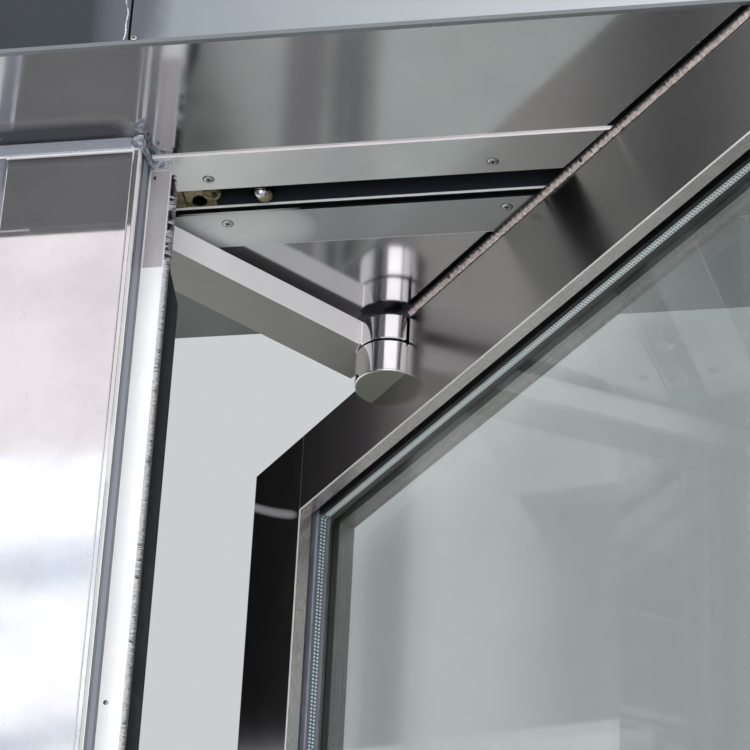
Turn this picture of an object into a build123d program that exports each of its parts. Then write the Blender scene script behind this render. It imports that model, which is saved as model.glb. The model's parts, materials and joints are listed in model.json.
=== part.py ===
"""Balanced french doors: two glazed steel leaves carried on arms and guided by a header track.

World frame, millimetres: +X along the wall, +Y into the building, +Z up. The origin is on the floor
under the middle of the threshold, on the centre line of the header track. The leaves stand ajar.
"""
from build123d import *
from math import cos, sin, radians
import os

os.makedirs("parts", exist_ok=True)

# Leaves
LEAF_WIDTH = 900.0
LEAF_THICK = 57.0
LEAF_EDGE = 1.5
STILE_WIDTH = 90.0
RAIL_HEIGHT = 105.0
SHEET = 3.0
MEETING_GAP = 12.0
LEAF_BRUSH_HEIGHT = 3.0
LEAF_BRUSH_THICK = 4.0
LEAF_BRUSH_GAP = 1.0
MEETING_BRUSH_THICK = 6.0
MEETING_BRUSH_PROUD = 2.5

# Heights of the fixed frame
THRESHOLD_HEIGHT = 12.0
SOFFIT_HEIGHT = 2400.0
PLATE_THICK = 2.0
SWING_GAP = 5.0

# Linkage: the arm turns on the jamb shaft, the leaf turns on the arm, the guide rides in the track
ARM_LENGTH = 288.5
ARM_HEIGHT = 25.0
ARM_INSET = 4.0
ARM_CLEAR = 5.0
ARM_EDGE = 0.8
REST_ANGLE = 50.0
HINGE_LENGTH = 242.0
KNUCKLE_R = 30.0
KNUCKLE_HEIGHT = 32.0
KNUCKLE_EDGE = 1.6
KNUCKLE_GAP = 2.0
KNUCKLE_CLEAR = 3.0
KNUCKLE_SEAT_GAP = 0.3
PIN_R = 10.0
PIN_SHORT = 2.0
RUNNING_FIT = 0.05
SHAFT_R = 21.0
SHAFT_WALL = 5.0
SHAFT_PLUG = 20.0
COLLAR_R = 24.0
COLLAR_HEIGHT = 14.0
SPINDLE_R = 12.0
SPINDLE_REACH = 35.0
SPINDLE_FOOT = 9.0
BORE_END_GAP = 1.0

# Glazing, counted inwards from the outer face
BEAD_DEPTH = 12.0
BEAD_LIP = 1.5
PANE_THICK = 5.0
CAVITY_DEPTH = 14.0
REBATE_WIDTH = 16.0
MITRE_GAP = 0.2
SPACER_DEPTH = 11.0
SPACER_THICK = 6.0
SEAL_SIGHT = 3.0
PANE_EDGE_GAP = 3.0

# Header, measured from the track line
HEADER_FRONT_DEPTH = 213.0
HEADER_REAR_DEPTH = 204.0
HEADER_HEIGHT = 120.0
FASCIA_THICK = 3.0
FASCIA_JOINT_OFFSET = 63.0
FASCIA_JOINT_GAP = 2.0
SOFFIT_THICK = 4.0
SOFFIT_INNER_DEPTH = 28.0
PLATE_INNER_DEPTH = 17.5
PLATE_WIDTH = 48.0
TRACK_INNER_DEPTH = 17.0
TRACK_WALL = 3.0
TRACK_HEIGHT = 43.0
TRACK_FLANGE_WIDTH = 30.0
ROLLER_R = 16.0
ROLLER_HEIGHT = 24.0
ROLLER_LIFT = 6.0
ROLLER_EDGE = 2.0
ROLLER_PIN_R = 8.0
GUIDE_PLATE_LENGTH = 80.0
GUIDE_PLATE_WIDTH = 40.0
STOP_OFFSET = 61.5
STOP_LENGTH = 26.0
STOP_LIFT = 2.0
STOP_HOLE_R = 6.0
STOP_HOLE_OFFSET = 6.0
STOP_EDGE = 1.5
BUFFER_OFFSET = 129.7
BUFFER_R = 7.0
BUFFER_STEM_R = 4.0
BEARING_BORE_DEPTH = 40.0

# Posts, measured from the shaft axis
POST_OUTER_WIDTH = 78.0
POST_NOSE_WIDTH = 48.0
POST_FRONT_DEPTH = 90.0
POST_BOX_DEPTH = 45.0
POST_WEB_OFFSET = 35.0
POST_REAR_DEPTH = 90.0
POST_BEND_R = 2.0
PANEL_THICK = 3.0
TRIM_WIDTH = 14.0
TRIM_NOSE_WIDTH = 7.0
TRIM_PROUD = 6.0
TRIM_EDGE = 2.0
TRIM_CORNER_R = 13.0
STRIP_WIDTH = 18.0
STRIP_DEPTH = 14.0
STRIP_FACE_DEPTH = 60.0
STRIP_THICK = 3.0
STRIP_DROP = 8.0
STRIP_CORNER_R = 6.0
PILE_WIDTH = 5.0
PILE_DEPTH = 21.0
FIN_WIDTH = 9.0
FIN_THICK = 4.0
FIN_DROP = 95.0
FIN_SLOPE = 35.0

# Threshold
THRESHOLD_EDGE = 5.0
GROOVE_WIDTH = 4.0
GROOVE_DEPTH = 1.5
GROOVE_PITCH = 20.0
GROOVE_COUNT = 5

# Pull handles
PULL_R = 12.0
PULL_EDGE = 3.0
PULL_LENGTH = 500.0
PULL_MIDDLE_HEIGHT = 1050.0
PULL_STAND = 55.0
PULL_POST_R = 8.0
PULL_POST_SPACING = 380.0
PULL_ROSE_R = 14.0
PULL_ROSE_THICK = 4.0

# Derived sizes
HALF_THICK = LEAF_THICK / 2
AXIS_TO_EDGE = ARM_LENGTH - HINGE_LENGTH
SHAFT_X = AXIS_TO_EDGE + LEAF_WIDTH + MEETING_GAP / 2
PLATE_FACE = SOFFIT_HEIGHT - PLATE_THICK
SWING_TOP = PLATE_FACE - SWING_GAP
SWING_BOTTOM = THRESHOLD_HEIGHT + SWING_GAP
MID_HEIGHT = (SWING_TOP + SWING_BOTTOM) / 2
LEAF_TOP = SWING_TOP - LEAF_BRUSH_HEIGHT
LEAF_BOTTOM = SWING_BOTTOM + LEAF_BRUSH_HEIGHT
ARM_BOTTOM = SWING_TOP - ARM_HEIGHT
NOTCH_TOP = ARM_BOTTOM - ARM_CLEAR
NOTCH_BOTTOM = 2 * MID_HEIGHT - NOTCH_TOP
KNUCKLE_TOP = ARM_BOTTOM - KNUCKLE_GAP
KNUCKLE_BOTTOM = KNUCKLE_TOP - KNUCKLE_HEIGHT
LATCH_LENGTH = LEAF_WIDTH - HINGE_LENGTH
GLASS_LEFT = STILE_WIDTH - HINGE_LENGTH
GLASS_RIGHT = LATCH_LENGTH - STILE_WIDTH
GLASS_TOP = LEAF_TOP - RAIL_HEIGHT
GLASS_BOTTOM = LEAF_BOTTOM + RAIL_HEIGHT
REBATE_LEFT = GLASS_LEFT - REBATE_WIDTH
REBATE_RIGHT = GLASS_RIGHT + REBATE_WIDTH
REBATE_TOP = GLASS_TOP + REBATE_WIDTH
REBATE_BOTTOM = GLASS_BOTTOM - REBATE_WIDTH
OUTER_PANE_BACK = BEAD_DEPTH + PANE_THICK
INNER_PANE_FRONT = OUTER_PANE_BACK + CAVITY_DEPTH
INNER_PANE_BACK = INNER_PANE_FRONT + PANE_THICK
HEADER_X = SHAFT_X + POST_OUTER_WIDTH
HEADER_TOP = SOFFIT_HEIGHT + HEADER_HEIGHT
SOFFIT_TOP = SOFFIT_HEIGHT + SOFFIT_THICK
LID_BASE = HEADER_TOP - FASCIA_THICK
TRACK_X = SHAFT_X - POST_NOSE_WIDTH
TRACK_ROOF = SOFFIT_TOP + TRACK_HEIGHT - TRACK_WALL
STOP_BASE = SOFFIT_TOP + STOP_LIFT
STRIP_FRONT = -STRIP_FACE_DEPTH
STRIP_BACK = STRIP_FRONT + STRIP_THICK
STRIP_TOP = PLATE_FACE - STRIP_DROP
STRIP_EDGE = POST_NOSE_WIDTH + STRIP_WIDTH
PILE_BACK = STRIP_BACK + PILE_DEPTH
REST = radians(REST_ANGLE)
PIVOT_X = ARM_LENGTH * cos(REST) + HALF_THICK * sin(REST) - SHAFT_X
PIVOT_Y = ARM_LENGTH * sin(REST) - HALF_THICK * cos(REST)

# Left leaf frame: x along the leaf towards its latch edge, y from its outer face to its inner face
LEAF = Plane(origin=(PIVOT_X, PIVOT_Y, 0), x_dir=(cos(REST), -sin(REST), 0), z_dir=(0, 0, 1))
# Left arm frame: x from the shaft towards the knuckle, which stands on its origin
ARM = Plane(origin=(PIVOT_X, PIVOT_Y, 0), x_dir=(cos(REST), sin(REST), 0), z_dir=(0, 0, 1))
# Left jamb frame: origin on the jamb shaft
JAMB = Plane(origin=(-SHAFT_X, 0, 0), x_dir=(1, 0, 0), z_dir=(0, 0, 1))
MIDDLE = Plane.XY.offset(MID_HEIGHT)


def bar(frame, x0, x1, y0, y1, z0, z1, mode=Mode.ADD):
    """Add or cut an upright rectangular bar given by its limits in a frame."""
    with BuildSketch(frame.offset(z0)) as section:
        with Locations(((x0 + x1) / 2, (y0 + y1) / 2)):
            Rectangle(x1 - x0, y1 - y0)
    extrude(section.sketch, amount=z1 - z0, mode=mode)


def rod(frame, x, y, r, z0, z1, mode=Mode.ADD):
    """Add or cut an upright round rod."""
    with BuildSketch(frame.offset(z0)) as section:
        with Locations((x, y)):
            Circle(r)
    extrude(section.sketch, amount=z1 - z0, mode=mode)


def turned(frame, x, y, *points):
    """Add a turned piece from the (radius, height) points of its half section."""
    origin = frame.from_local_coords(Vector(x, y, 0))
    with BuildSketch(Plane(origin=origin, x_dir=frame.x_dir, z_dir=-frame.y_dir)) as half:
        with BuildLine():
            Polyline(*points, close=True)
        make_face()
    revolve(half.sketch, axis=Axis(origin, (0, 0, 1)))


# Fixed frame: threshold and posts
with BuildPart() as threshold:
    with BuildSketch(Plane.YZ.offset(-SHAFT_X - POST_WEB_OFFSET)):
        with BuildLine():
            Polyline(
                (-POST_BOX_DEPTH, 0), (POST_REAR_DEPTH, 0),
                (POST_REAR_DEPTH, THRESHOLD_HEIGHT - THRESHOLD_EDGE),
                (POST_REAR_DEPTH - THRESHOLD_EDGE, THRESHOLD_HEIGHT),
                (THRESHOLD_EDGE - POST_BOX_DEPTH, THRESHOLD_HEIGHT),
                (-POST_BOX_DEPTH, THRESHOLD_HEIGHT - THRESHOLD_EDGE), close=True)
        make_face()
        with Locations(((POST_REAR_DEPTH - POST_BOX_DEPTH) / 2, THRESHOLD_HEIGHT)):
            with GridLocations(GROOVE_PITCH, GROOVE_DEPTH, GROOVE_COUNT, 1):
                Rectangle(GROOVE_WIDTH, 2 * GROOVE_DEPTH, mode=Mode.SUBTRACT)
    extrude(amount=2 * (SHAFT_X + POST_WEB_OFFSET))
    for side in (-1, 1):
        bar(Plane.XY, side * SHAFT_X - POST_WEB_OFFSET, side * SHAFT_X + POST_WEB_OFFSET,
            -SOFFIT_INNER_DEPTH, SOFFIT_INNER_DEPTH, THRESHOLD_HEIGHT - GROOVE_DEPTH, THRESHOLD_HEIGHT)
        rod(Plane.XY, side * SHAFT_X, 0, SPINDLE_R + RUNNING_FIT,
            THRESHOLD_HEIGHT - SPINDLE_FOOT - BORE_END_GAP, THRESHOLD_HEIGHT, mode=Mode.SUBTRACT)
threshold.part.label = "threshold"
export_step(threshold.part, "parts/threshold.step")

with BuildPart() as left_post:
    with BuildSketch(JAMB):
        with BuildLine():
            Polyline(
                (-POST_OUTER_WIDTH, -POST_FRONT_DEPTH), (POST_NOSE_WIDTH, -POST_FRONT_DEPTH),
                (POST_NOSE_WIDTH, -POST_BOX_DEPTH), (-POST_WEB_OFFSET, -POST_BOX_DEPTH),
                (-POST_WEB_OFFSET, POST_REAR_DEPTH), (-POST_OUTER_WIDTH, POST_REAR_DEPTH), close=True)
        post_outline = make_face()
        fillet(post_outline.vertices().group_by(Axis.Y)[0], POST_BEND_R)
        offset(amount=-SHEET, kind=Kind.INTERSECTION, mode=Mode.SUBTRACT)
    extrude(amount=SOFFIT_HEIGHT)
left_post.part.label = "left_post"
export_step(left_post.part, "parts/left_post.step")

with BuildPart() as right_post:
    mirror(left_post.part, about=Plane.YZ)
right_post.part.label = "right_post"
export_step(right_post.part, "parts/right_post.step")

with BuildPart() as post_panels:
    bar(JAMB, TRIM_WIDTH - POST_OUTER_WIDTH, POST_NOSE_WIDTH - TRIM_NOSE_WIDTH,
        -POST_FRONT_DEPTH - PANEL_THICK, -POST_FRONT_DEPTH, TRIM_WIDTH, SOFFIT_HEIGHT - TRIM_WIDTH)
    mirror(about=Plane.YZ)
post_panels.part.label = "post_panels"
export_step(post_panels.part, "parts/post_panels.step")

TRIM_LEFT = -SHAFT_X - POST_OUTER_WIDTH
TRIM_RIGHT = -SHAFT_X + POST_NOSE_WIDTH
PANEL_LEFT = TRIM_LEFT + TRIM_WIDTH
PANEL_RIGHT = TRIM_RIGHT - TRIM_NOSE_WIDTH
with BuildPart() as post_beads:
    with BuildSketch(Plane.XZ.offset(POST_FRONT_DEPTH)):
        with Locations(((TRIM_LEFT + TRIM_RIGHT) / 2, SOFFIT_HEIGHT / 2)):
            trim_outline = Rectangle(TRIM_RIGHT - TRIM_LEFT, SOFFIT_HEIGHT)
        fillet(trim_outline.vertices().group_by(Axis.X)[-1], TRIM_CORNER_R)
        with Locations(((PANEL_LEFT + PANEL_RIGHT) / 2, SOFFIT_HEIGHT / 2)):
            Rectangle(PANEL_RIGHT - PANEL_LEFT, SOFFIT_HEIGHT - 2 * TRIM_WIDTH, mode=Mode.SUBTRACT)
    extrude(amount=TRIM_PROUD)
    trim_face = post_beads.faces().sort_by(Axis.Y)[0]
    chamfer(trim_face.edges(), TRIM_EDGE)
    mirror(about=Plane.YZ)
post_beads.part.label = "post_beads"
export_step(post_beads.part, "parts/post_beads.step")

with BuildPart() as jamb_strips:
    bar(JAMB, POST_NOSE_WIDTH, STRIP_EDGE, STRIP_FRONT, STRIP_FRONT + STRIP_DEPTH, 0, STRIP_TOP)
    bar(JAMB, POST_NOSE_WIDTH + STRIP_THICK, STRIP_EDGE, STRIP_BACK, STRIP_FRONT + STRIP_DEPTH,
        0, STRIP_TOP, mode=Mode.SUBTRACT)
    top_corners = jamb_strips.edges().filter_by(Axis.Y).group_by(Axis.Z)[-1]
    fillet(top_corners.sort_by(Axis.X)[-1], STRIP_CORNER_R)
    mirror(about=Plane.YZ)
jamb_strips.part.label = "jamb_strips"
export_step(jamb_strips.part, "parts/jamb_strips.step")

with BuildPart() as jamb_brushes:
    bar(JAMB, STRIP_EDGE - PILE_WIDTH, STRIP_EDGE, STRIP_BACK, PILE_BACK,
        THRESHOLD_HEIGHT, STRIP_TOP - STRIP_CORNER_R)
    mirror(about=Plane.YZ)
jamb_brushes.part.label = "jamb_brushes"
export_step(jamb_brushes.part, "parts/jamb_brushes.step")

FIN_ROOT = STRIP_EDGE - SHAFT_X
FIN_TIP = FIN_ROOT + FIN_WIDTH
FIN_TOP = SOFFIT_HEIGHT - FIN_DROP
FIN_BOTTOM = THRESHOLD_HEIGHT + FIN_DROP
with BuildPart() as jamb_fins:
    with BuildSketch(Plane.XZ.offset(-PILE_BACK)):
        with BuildLine():
            Polyline(
                (FIN_ROOT, FIN_BOTTOM), (FIN_TIP, FIN_BOTTOM + FIN_SLOPE),
                (FIN_TIP, FIN_TOP - FIN_SLOPE), (FIN_ROOT, FIN_TOP), close=True)
        make_face()
    extrude(amount=FIN_THICK)
    mirror(about=Plane.YZ)
jamb_fins.part.label = "jamb_fins"
export_step(jamb_fins.part, "parts/jamb_fins.step")

# Header
with BuildPart() as soffits:
    bar(Plane.XY, -HEADER_X, HEADER_X, -HEADER_FRONT_DEPTH, -SOFFIT_INNER_DEPTH, SOFFIT_HEIGHT, SOFFIT_TOP)
    bar(Plane.XY, -HEADER_X, HEADER_X, SOFFIT_INNER_DEPTH, HEADER_REAR_DEPTH, SOFFIT_HEIGHT, SOFFIT_TOP)
soffits.part.label = "soffits"
export_step(soffits.part, "parts/soffits.step")

FASCIA_BACK = FASCIA_THICK - HEADER_FRONT_DEPTH
FASCIA_JOINT_X = SHAFT_X - FASCIA_JOINT_OFFSET
with BuildPart() as header_fascias:
    bar(Plane.XY, -HEADER_X, HEADER_X, -HEADER_FRONT_DEPTH, FASCIA_BACK, SOFFIT_TOP, LID_BASE)
    for joint in (-FASCIA_JOINT_X, FASCIA_JOINT_X):
        bar(Plane.XY, joint - FASCIA_JOINT_GAP / 2, joint + FASCIA_JOINT_GAP / 2,
            -HEADER_FRONT_DEPTH, FASCIA_BACK, SOFFIT_TOP, LID_BASE, mode=Mode.SUBTRACT)
    bar(Plane.XY, -HEADER_X, HEADER_X, HEADER_REAR_DEPTH - FASCIA_THICK, HEADER_REAR_DEPTH,
        SOFFIT_TOP, LID_BASE)
header_fascias.part.label = "header_fascias"
export_step(header_fascias.part, "parts/header_fascias.step")

with BuildPart() as header_ends:
    bar(Plane.XY, -HEADER_X, FASCIA_THICK - HEADER_X, FASCIA_BACK, HEADER_REAR_DEPTH - FASCIA_THICK,
        SOFFIT_TOP, LID_BASE)
    mirror(about=Plane.YZ)
header_ends.part.label = "header_ends"
export_step(header_ends.part, "parts/header_ends.step")

with BuildPart() as header_lid:
    bar(Plane.XY, -HEADER_X, HEADER_X, -HEADER_FRONT_DEPTH, HEADER_REAR_DEPTH, LID_BASE, HEADER_TOP)
header_lid.part.label = "header_lid"
export_step(header_lid.part, "parts/header_lid.step")

with BuildPart() as track_channel:
    with BuildSketch(Plane.YZ.offset(-TRACK_X)):
        with Locations((0, SOFFIT_TOP + TRACK_HEIGHT / 2)):
            Rectangle(2 * (TRACK_INNER_DEPTH + TRACK_WALL), TRACK_HEIGHT)
        with Locations((0, SOFFIT_TOP + TRACK_WALL / 2)):
            Rectangle(2 * (TRACK_INNER_DEPTH + TRACK_WALL + TRACK_FLANGE_WIDTH), TRACK_WALL)
        with Locations((0, SOFFIT_TOP + (TRACK_HEIGHT - TRACK_WALL) / 2)):
            Rectangle(2 * TRACK_INNER_DEPTH, TRACK_HEIGHT - TRACK_WALL, mode=Mode.SUBTRACT)
    extrude(amount=2 * TRACK_X)
track_channel.part.label = "track_channel"
export_step(track_channel.part, "parts/track_channel.step")

with BuildPart() as cover_plates:
    bar(Plane.XY, -TRACK_X, TRACK_X, -PLATE_INNER_DEPTH - PLATE_WIDTH, -PLATE_INNER_DEPTH,
        PLATE_FACE, SOFFIT_HEIGHT)
    mirror(about=Plane.XZ)
cover_plates.part.label = "cover_plates"
export_step(cover_plates.part, "parts/cover_plates.step")

with BuildPart() as stop_blocks:
    bar(JAMB, STOP_OFFSET, STOP_OFFSET + STOP_LENGTH, -TRACK_INNER_DEPTH, TRACK_INNER_DEPTH,
        STOP_BASE, TRACK_ROOF)
    chamfer(stop_blocks.faces().sort_by(Axis.Z)[0].edges(), STOP_EDGE)
    rod(JAMB, STOP_OFFSET + STOP_LENGTH / 2, STOP_HOLE_OFFSET, STOP_HOLE_R, STOP_BASE, TRACK_ROOF,
        mode=Mode.SUBTRACT)
    mirror(about=Plane.YZ)
stop_blocks.part.label = "stop_blocks"
export_step(stop_blocks.part, "parts/stop_blocks.step")

BALL_HEIGHT = STOP_BASE + BUFFER_R
BALL_RISE = (BUFFER_R ** 2 - BUFFER_STEM_R ** 2) ** 0.5
with BuildPart() as stop_buffers:
    with BuildSketch(Plane.XZ):
        with BuildLine(Location((BUFFER_OFFSET - SHAFT_X, 0))):
            ThreePointArc((0, STOP_BASE), (BUFFER_R, BALL_HEIGHT), (BUFFER_STEM_R, BALL_HEIGHT + BALL_RISE))
            Polyline((BUFFER_STEM_R, BALL_HEIGHT + BALL_RISE), (BUFFER_STEM_R, TRACK_ROOF), (0, TRACK_ROOF),
                     (0, STOP_BASE))
        make_face()
    revolve(axis=Axis((BUFFER_OFFSET - SHAFT_X, 0, 0), (0, 0, 1)))
    mirror(about=Plane.YZ)
stop_buffers.part.label = "stop_buffers"
export_step(stop_buffers.part, "parts/stop_buffers.step")

with BuildPart() as top_bearings:
    bar(JAMB, -POST_WEB_OFFSET, POST_NOSE_WIDTH, -SOFFIT_INNER_DEPTH, SOFFIT_INNER_DEPTH,
        SOFFIT_HEIGHT, LID_BASE)
    rod(JAMB, 0, 0, SPINDLE_R + RUNNING_FIT, SOFFIT_HEIGHT, SOFFIT_HEIGHT + BEARING_BORE_DEPTH,
        mode=Mode.SUBTRACT)
    mirror(about=Plane.YZ)
top_bearings.part.label = "top_bearings"
export_step(top_bearings.part, "parts/top_bearings.step")

# Left arms and shaft
with BuildPart() as left_arms:
    with BuildSketch(ARM.offset(ARM_BOTTOM)):
        with Locations((-ARM_LENGTH / 2, HALF_THICK)):
            Rectangle(ARM_LENGTH, LEAF_THICK - 2 * ARM_INSET)
        with Locations((-ARM_LENGTH, HALF_THICK)):
            Circle(HALF_THICK - ARM_INSET)
        Circle(KNUCKLE_R)
    extrude(amount=ARM_HEIGHT)
    chamfer(left_arms.faces().filter_by(Axis.Z).edges(), ARM_EDGE)
    rod(ARM, 0, 0, PIN_R + RUNNING_FIT, ARM_BOTTOM, SWING_TOP, mode=Mode.SUBTRACT)
    mirror(about=MIDDLE)
left_arms.part.label = "left_arms"
export_step(left_arms.part, "parts/left_arms.step")

COLLAR_BASE = ARM_BOTTOM - COLLAR_HEIGHT
PLUG_BASE = ARM_BOTTOM - SHAFT_PLUG
with BuildPart() as left_shaft:
    turned(JAMB, 0, 0, (0, MID_HEIGHT), (SHAFT_R, MID_HEIGHT), (SHAFT_R, COLLAR_BASE),
           (COLLAR_R, COLLAR_BASE), (COLLAR_R, ARM_BOTTOM), (0, ARM_BOTTOM))
    rod(JAMB, 0, 0, SHAFT_R - SHAFT_WALL, MID_HEIGHT, PLUG_BASE, mode=Mode.SUBTRACT)
    mirror(about=MIDDLE)
    rod(JAMB, 0, 0, SPINDLE_R, SWING_TOP, SOFFIT_HEIGHT + SPINDLE_REACH)
    rod(JAMB, 0, 0, SPINDLE_R, THRESHOLD_HEIGHT - SPINDLE_FOOT, SWING_BOTTOM)
left_shaft.part.label = "left_shaft"
export_step(left_shaft.part, "parts/left_shaft.step")

for source, label in ((left_arms, "right_arms"), (left_shaft, "right_shaft")):
    with BuildPart() as right_arm_piece:
        mirror(source.part, about=Plane.YZ)
    right_arm_piece.part.label = label
    export_step(right_arm_piece.part, "parts/" + label + ".step")

# Left leaf
with BuildPart() as left_hinge_stile:
    with BuildSketch(LEAF.offset(NOTCH_BOTTOM)):
        with Locations(((GLASS_LEFT - HINGE_LENGTH) / 2, HALF_THICK)):
            stile_outline = Rectangle(STILE_WIDTH, LEAF_THICK)
        fillet(stile_outline.vertices().group_by(Axis.X)[0], LEAF_EDGE)
    extrude(amount=NOTCH_TOP - NOTCH_BOTTOM)
    bar(LEAF, SHEET - HINGE_LENGTH, REBATE_LEFT - SHEET, SHEET, LEAF_THICK - SHEET,
        NOTCH_BOTTOM + SHEET, NOTCH_TOP - SHEET, mode=Mode.SUBTRACT)
    bar(LEAF, REBATE_LEFT, GLASS_LEFT, BEAD_DEPTH, LEAF_THICK, REBATE_BOTTOM, REBATE_TOP,
        mode=Mode.SUBTRACT)
left_hinge_stile.part.label = "left_hinge_stile"
export_step(left_hinge_stile.part, "parts/left_hinge_stile.step")

with BuildPart() as left_latch_stile:
    with BuildSketch(LEAF.offset(LEAF_BOTTOM)):
        with Locations(((GLASS_RIGHT + LATCH_LENGTH) / 2, HALF_THICK)):
            latch_outline = Rectangle(STILE_WIDTH, LEAF_THICK)
        fillet(latch_outline.vertices().group_by(Axis.X)[-1], LEAF_EDGE)
    extrude(amount=LEAF_TOP - LEAF_BOTTOM)
    bar(LEAF, REBATE_RIGHT + SHEET, LATCH_LENGTH - SHEET, SHEET, LEAF_THICK - SHEET,
        LEAF_BOTTOM + SHEET, LEAF_TOP - SHEET, mode=Mode.SUBTRACT)
    bar(LEAF, GLASS_RIGHT, REBATE_RIGHT, BEAD_DEPTH, LEAF_THICK, REBATE_BOTTOM, REBATE_TOP,
        mode=Mode.SUBTRACT)
left_latch_stile.part.label = "left_latch_stile"
export_step(left_latch_stile.part, "parts/left_latch_stile.step")

RAIL_CORE_BASE = REBATE_TOP + SHEET
POCKET_R = KNUCKLE_R + KNUCKLE_SEAT_GAP
SWEEP_R = KNUCKLE_R + KNUCKLE_CLEAR
with BuildPart() as left_top_rail:
    bar(LEAF, GLASS_LEFT, GLASS_RIGHT, 0, LEAF_THICK, GLASS_TOP, LEAF_TOP)
    bar(LEAF, GLASS_LEFT, ARM_CLEAR, 0, LEAF_THICK, NOTCH_TOP, LEAF_TOP, mode=Mode.SUBTRACT)
    rod(LEAF, 0, 0, SWEEP_R, NOTCH_TOP, LEAF_TOP, mode=Mode.SUBTRACT)
    rod(LEAF, 0, 0, POCKET_R, KNUCKLE_BOTTOM, LEAF_TOP, mode=Mode.SUBTRACT)
    bar(LEAF, GLASS_LEFT, GLASS_RIGHT, BEAD_DEPTH, LEAF_THICK, GLASS_TOP, REBATE_TOP, mode=Mode.SUBTRACT)
    bar(LEAF, GLASS_LEFT + SHEET, -POCKET_R - SHEET, SHEET, LEAF_THICK - SHEET,
        RAIL_CORE_BASE, NOTCH_TOP - SHEET, mode=Mode.SUBTRACT)
    bar(LEAF, SWEEP_R + SHEET, GLASS_RIGHT - SHEET, SHEET, LEAF_THICK - SHEET,
        RAIL_CORE_BASE, LEAF_TOP - SHEET, mode=Mode.SUBTRACT)
left_top_rail.part.label = "left_top_rail"
export_step(left_top_rail.part, "parts/left_top_rail.step")

with BuildPart() as left_bottom_rail:
    mirror(left_top_rail.part, about=MIDDLE)
left_bottom_rail.part.label = "left_bottom_rail"
export_step(left_bottom_rail.part, "parts/left_bottom_rail.step")

with BuildPart() as left_knuckles:
    rod(LEAF, 0, 0, KNUCKLE_R, KNUCKLE_BOTTOM, KNUCKLE_TOP)
    fillet(left_knuckles.faces().filter_by(Axis.Z).edges(), KNUCKLE_EDGE)
    rod(LEAF, 0, 0, PIN_R, KNUCKLE_TOP, SWING_TOP - PIN_SHORT)
    mirror(about=MIDDLE)
left_knuckles.part.label = "left_knuckles"
export_step(left_knuckles.part, "parts/left_knuckles.step")

LIP_LEFT = GLASS_LEFT + BEAD_LIP
LIP_RIGHT = GLASS_RIGHT - BEAD_LIP
with BuildPart() as left_glazing_beads:
    bar(LEAF, GLASS_LEFT, LIP_LEFT, 0, BEAD_DEPTH, GLASS_BOTTOM, GLASS_TOP)
    bar(LEAF, LIP_RIGHT, GLASS_RIGHT, 0, BEAD_DEPTH, GLASS_BOTTOM, GLASS_TOP)
    bar(LEAF, LIP_LEFT + MITRE_GAP, LIP_RIGHT - MITRE_GAP, 0, BEAD_DEPTH, GLASS_TOP - BEAD_LIP, GLASS_TOP)
    bar(LEAF, REBATE_LEFT, LIP_LEFT, INNER_PANE_BACK, LEAF_THICK, REBATE_BOTTOM, REBATE_TOP)
    bar(LEAF, LIP_RIGHT, REBATE_RIGHT, INNER_PANE_BACK, LEAF_THICK, REBATE_BOTTOM, REBATE_TOP)
    bar(LEAF, LIP_LEFT + MITRE_GAP, LIP_RIGHT - MITRE_GAP, INNER_PANE_BACK, LEAF_THICK,
        GLASS_TOP - BEAD_LIP, REBATE_TOP)
    bar(LEAF, LIP_LEFT + MITRE_GAP, LIP_RIGHT - MITRE_GAP, 0, BEAD_DEPTH,
        GLASS_BOTTOM, GLASS_BOTTOM + BEAD_LIP)
    bar(LEAF, LIP_LEFT + MITRE_GAP, LIP_RIGHT - MITRE_GAP, INNER_PANE_BACK, LEAF_THICK,
        REBATE_BOTTOM, GLASS_BOTTOM + BEAD_LIP)
left_glazing_beads.part.label = "left_glazing_beads"
export_step(left_glazing_beads.part, "parts/left_glazing_beads.step")

PANE_LEFT = REBATE_LEFT + PANE_EDGE_GAP
PANE_RIGHT = REBATE_RIGHT - PANE_EDGE_GAP
PANE_BOTTOM = REBATE_BOTTOM + PANE_EDGE_GAP
PANE_TOP = REBATE_TOP - PANE_EDGE_GAP
SIGHT_LEFT = GLASS_LEFT + SEAL_SIGHT
SIGHT_RIGHT = GLASS_RIGHT - SEAL_SIGHT
SIGHT_BOTTOM = GLASS_BOTTOM + SEAL_SIGHT
SIGHT_TOP = GLASS_TOP - SEAL_SIGHT
SPACER_FRONT = OUTER_PANE_BACK + (CAVITY_DEPTH - SPACER_DEPTH) / 2
SPACER_BACK = SPACER_FRONT + SPACER_DEPTH
with BuildPart() as left_glass:
    bar(LEAF, PANE_LEFT, PANE_RIGHT, BEAD_DEPTH, OUTER_PANE_BACK, PANE_BOTTOM, PANE_TOP)
    bar(LEAF, PANE_LEFT, PANE_RIGHT, INNER_PANE_FRONT, INNER_PANE_BACK, PANE_BOTTOM, PANE_TOP)
left_glass.part.label = "left_glass"
export_step(left_glass.part, "parts/left_glass.step")

with BuildPart() as left_spacer:
    bar(LEAF, SIGHT_LEFT - SPACER_THICK, SIGHT_RIGHT + SPACER_THICK, SPACER_FRONT, SPACER_BACK,
        SIGHT_BOTTOM - SPACER_THICK, SIGHT_TOP + SPACER_THICK)
    bar(LEAF, SIGHT_LEFT, SIGHT_RIGHT, SPACER_FRONT, SPACER_BACK, SIGHT_BOTTOM, SIGHT_TOP,
        mode=Mode.SUBTRACT)
left_spacer.part.label = "left_spacer"
export_step(left_spacer.part, "parts/left_spacer.step")

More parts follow.
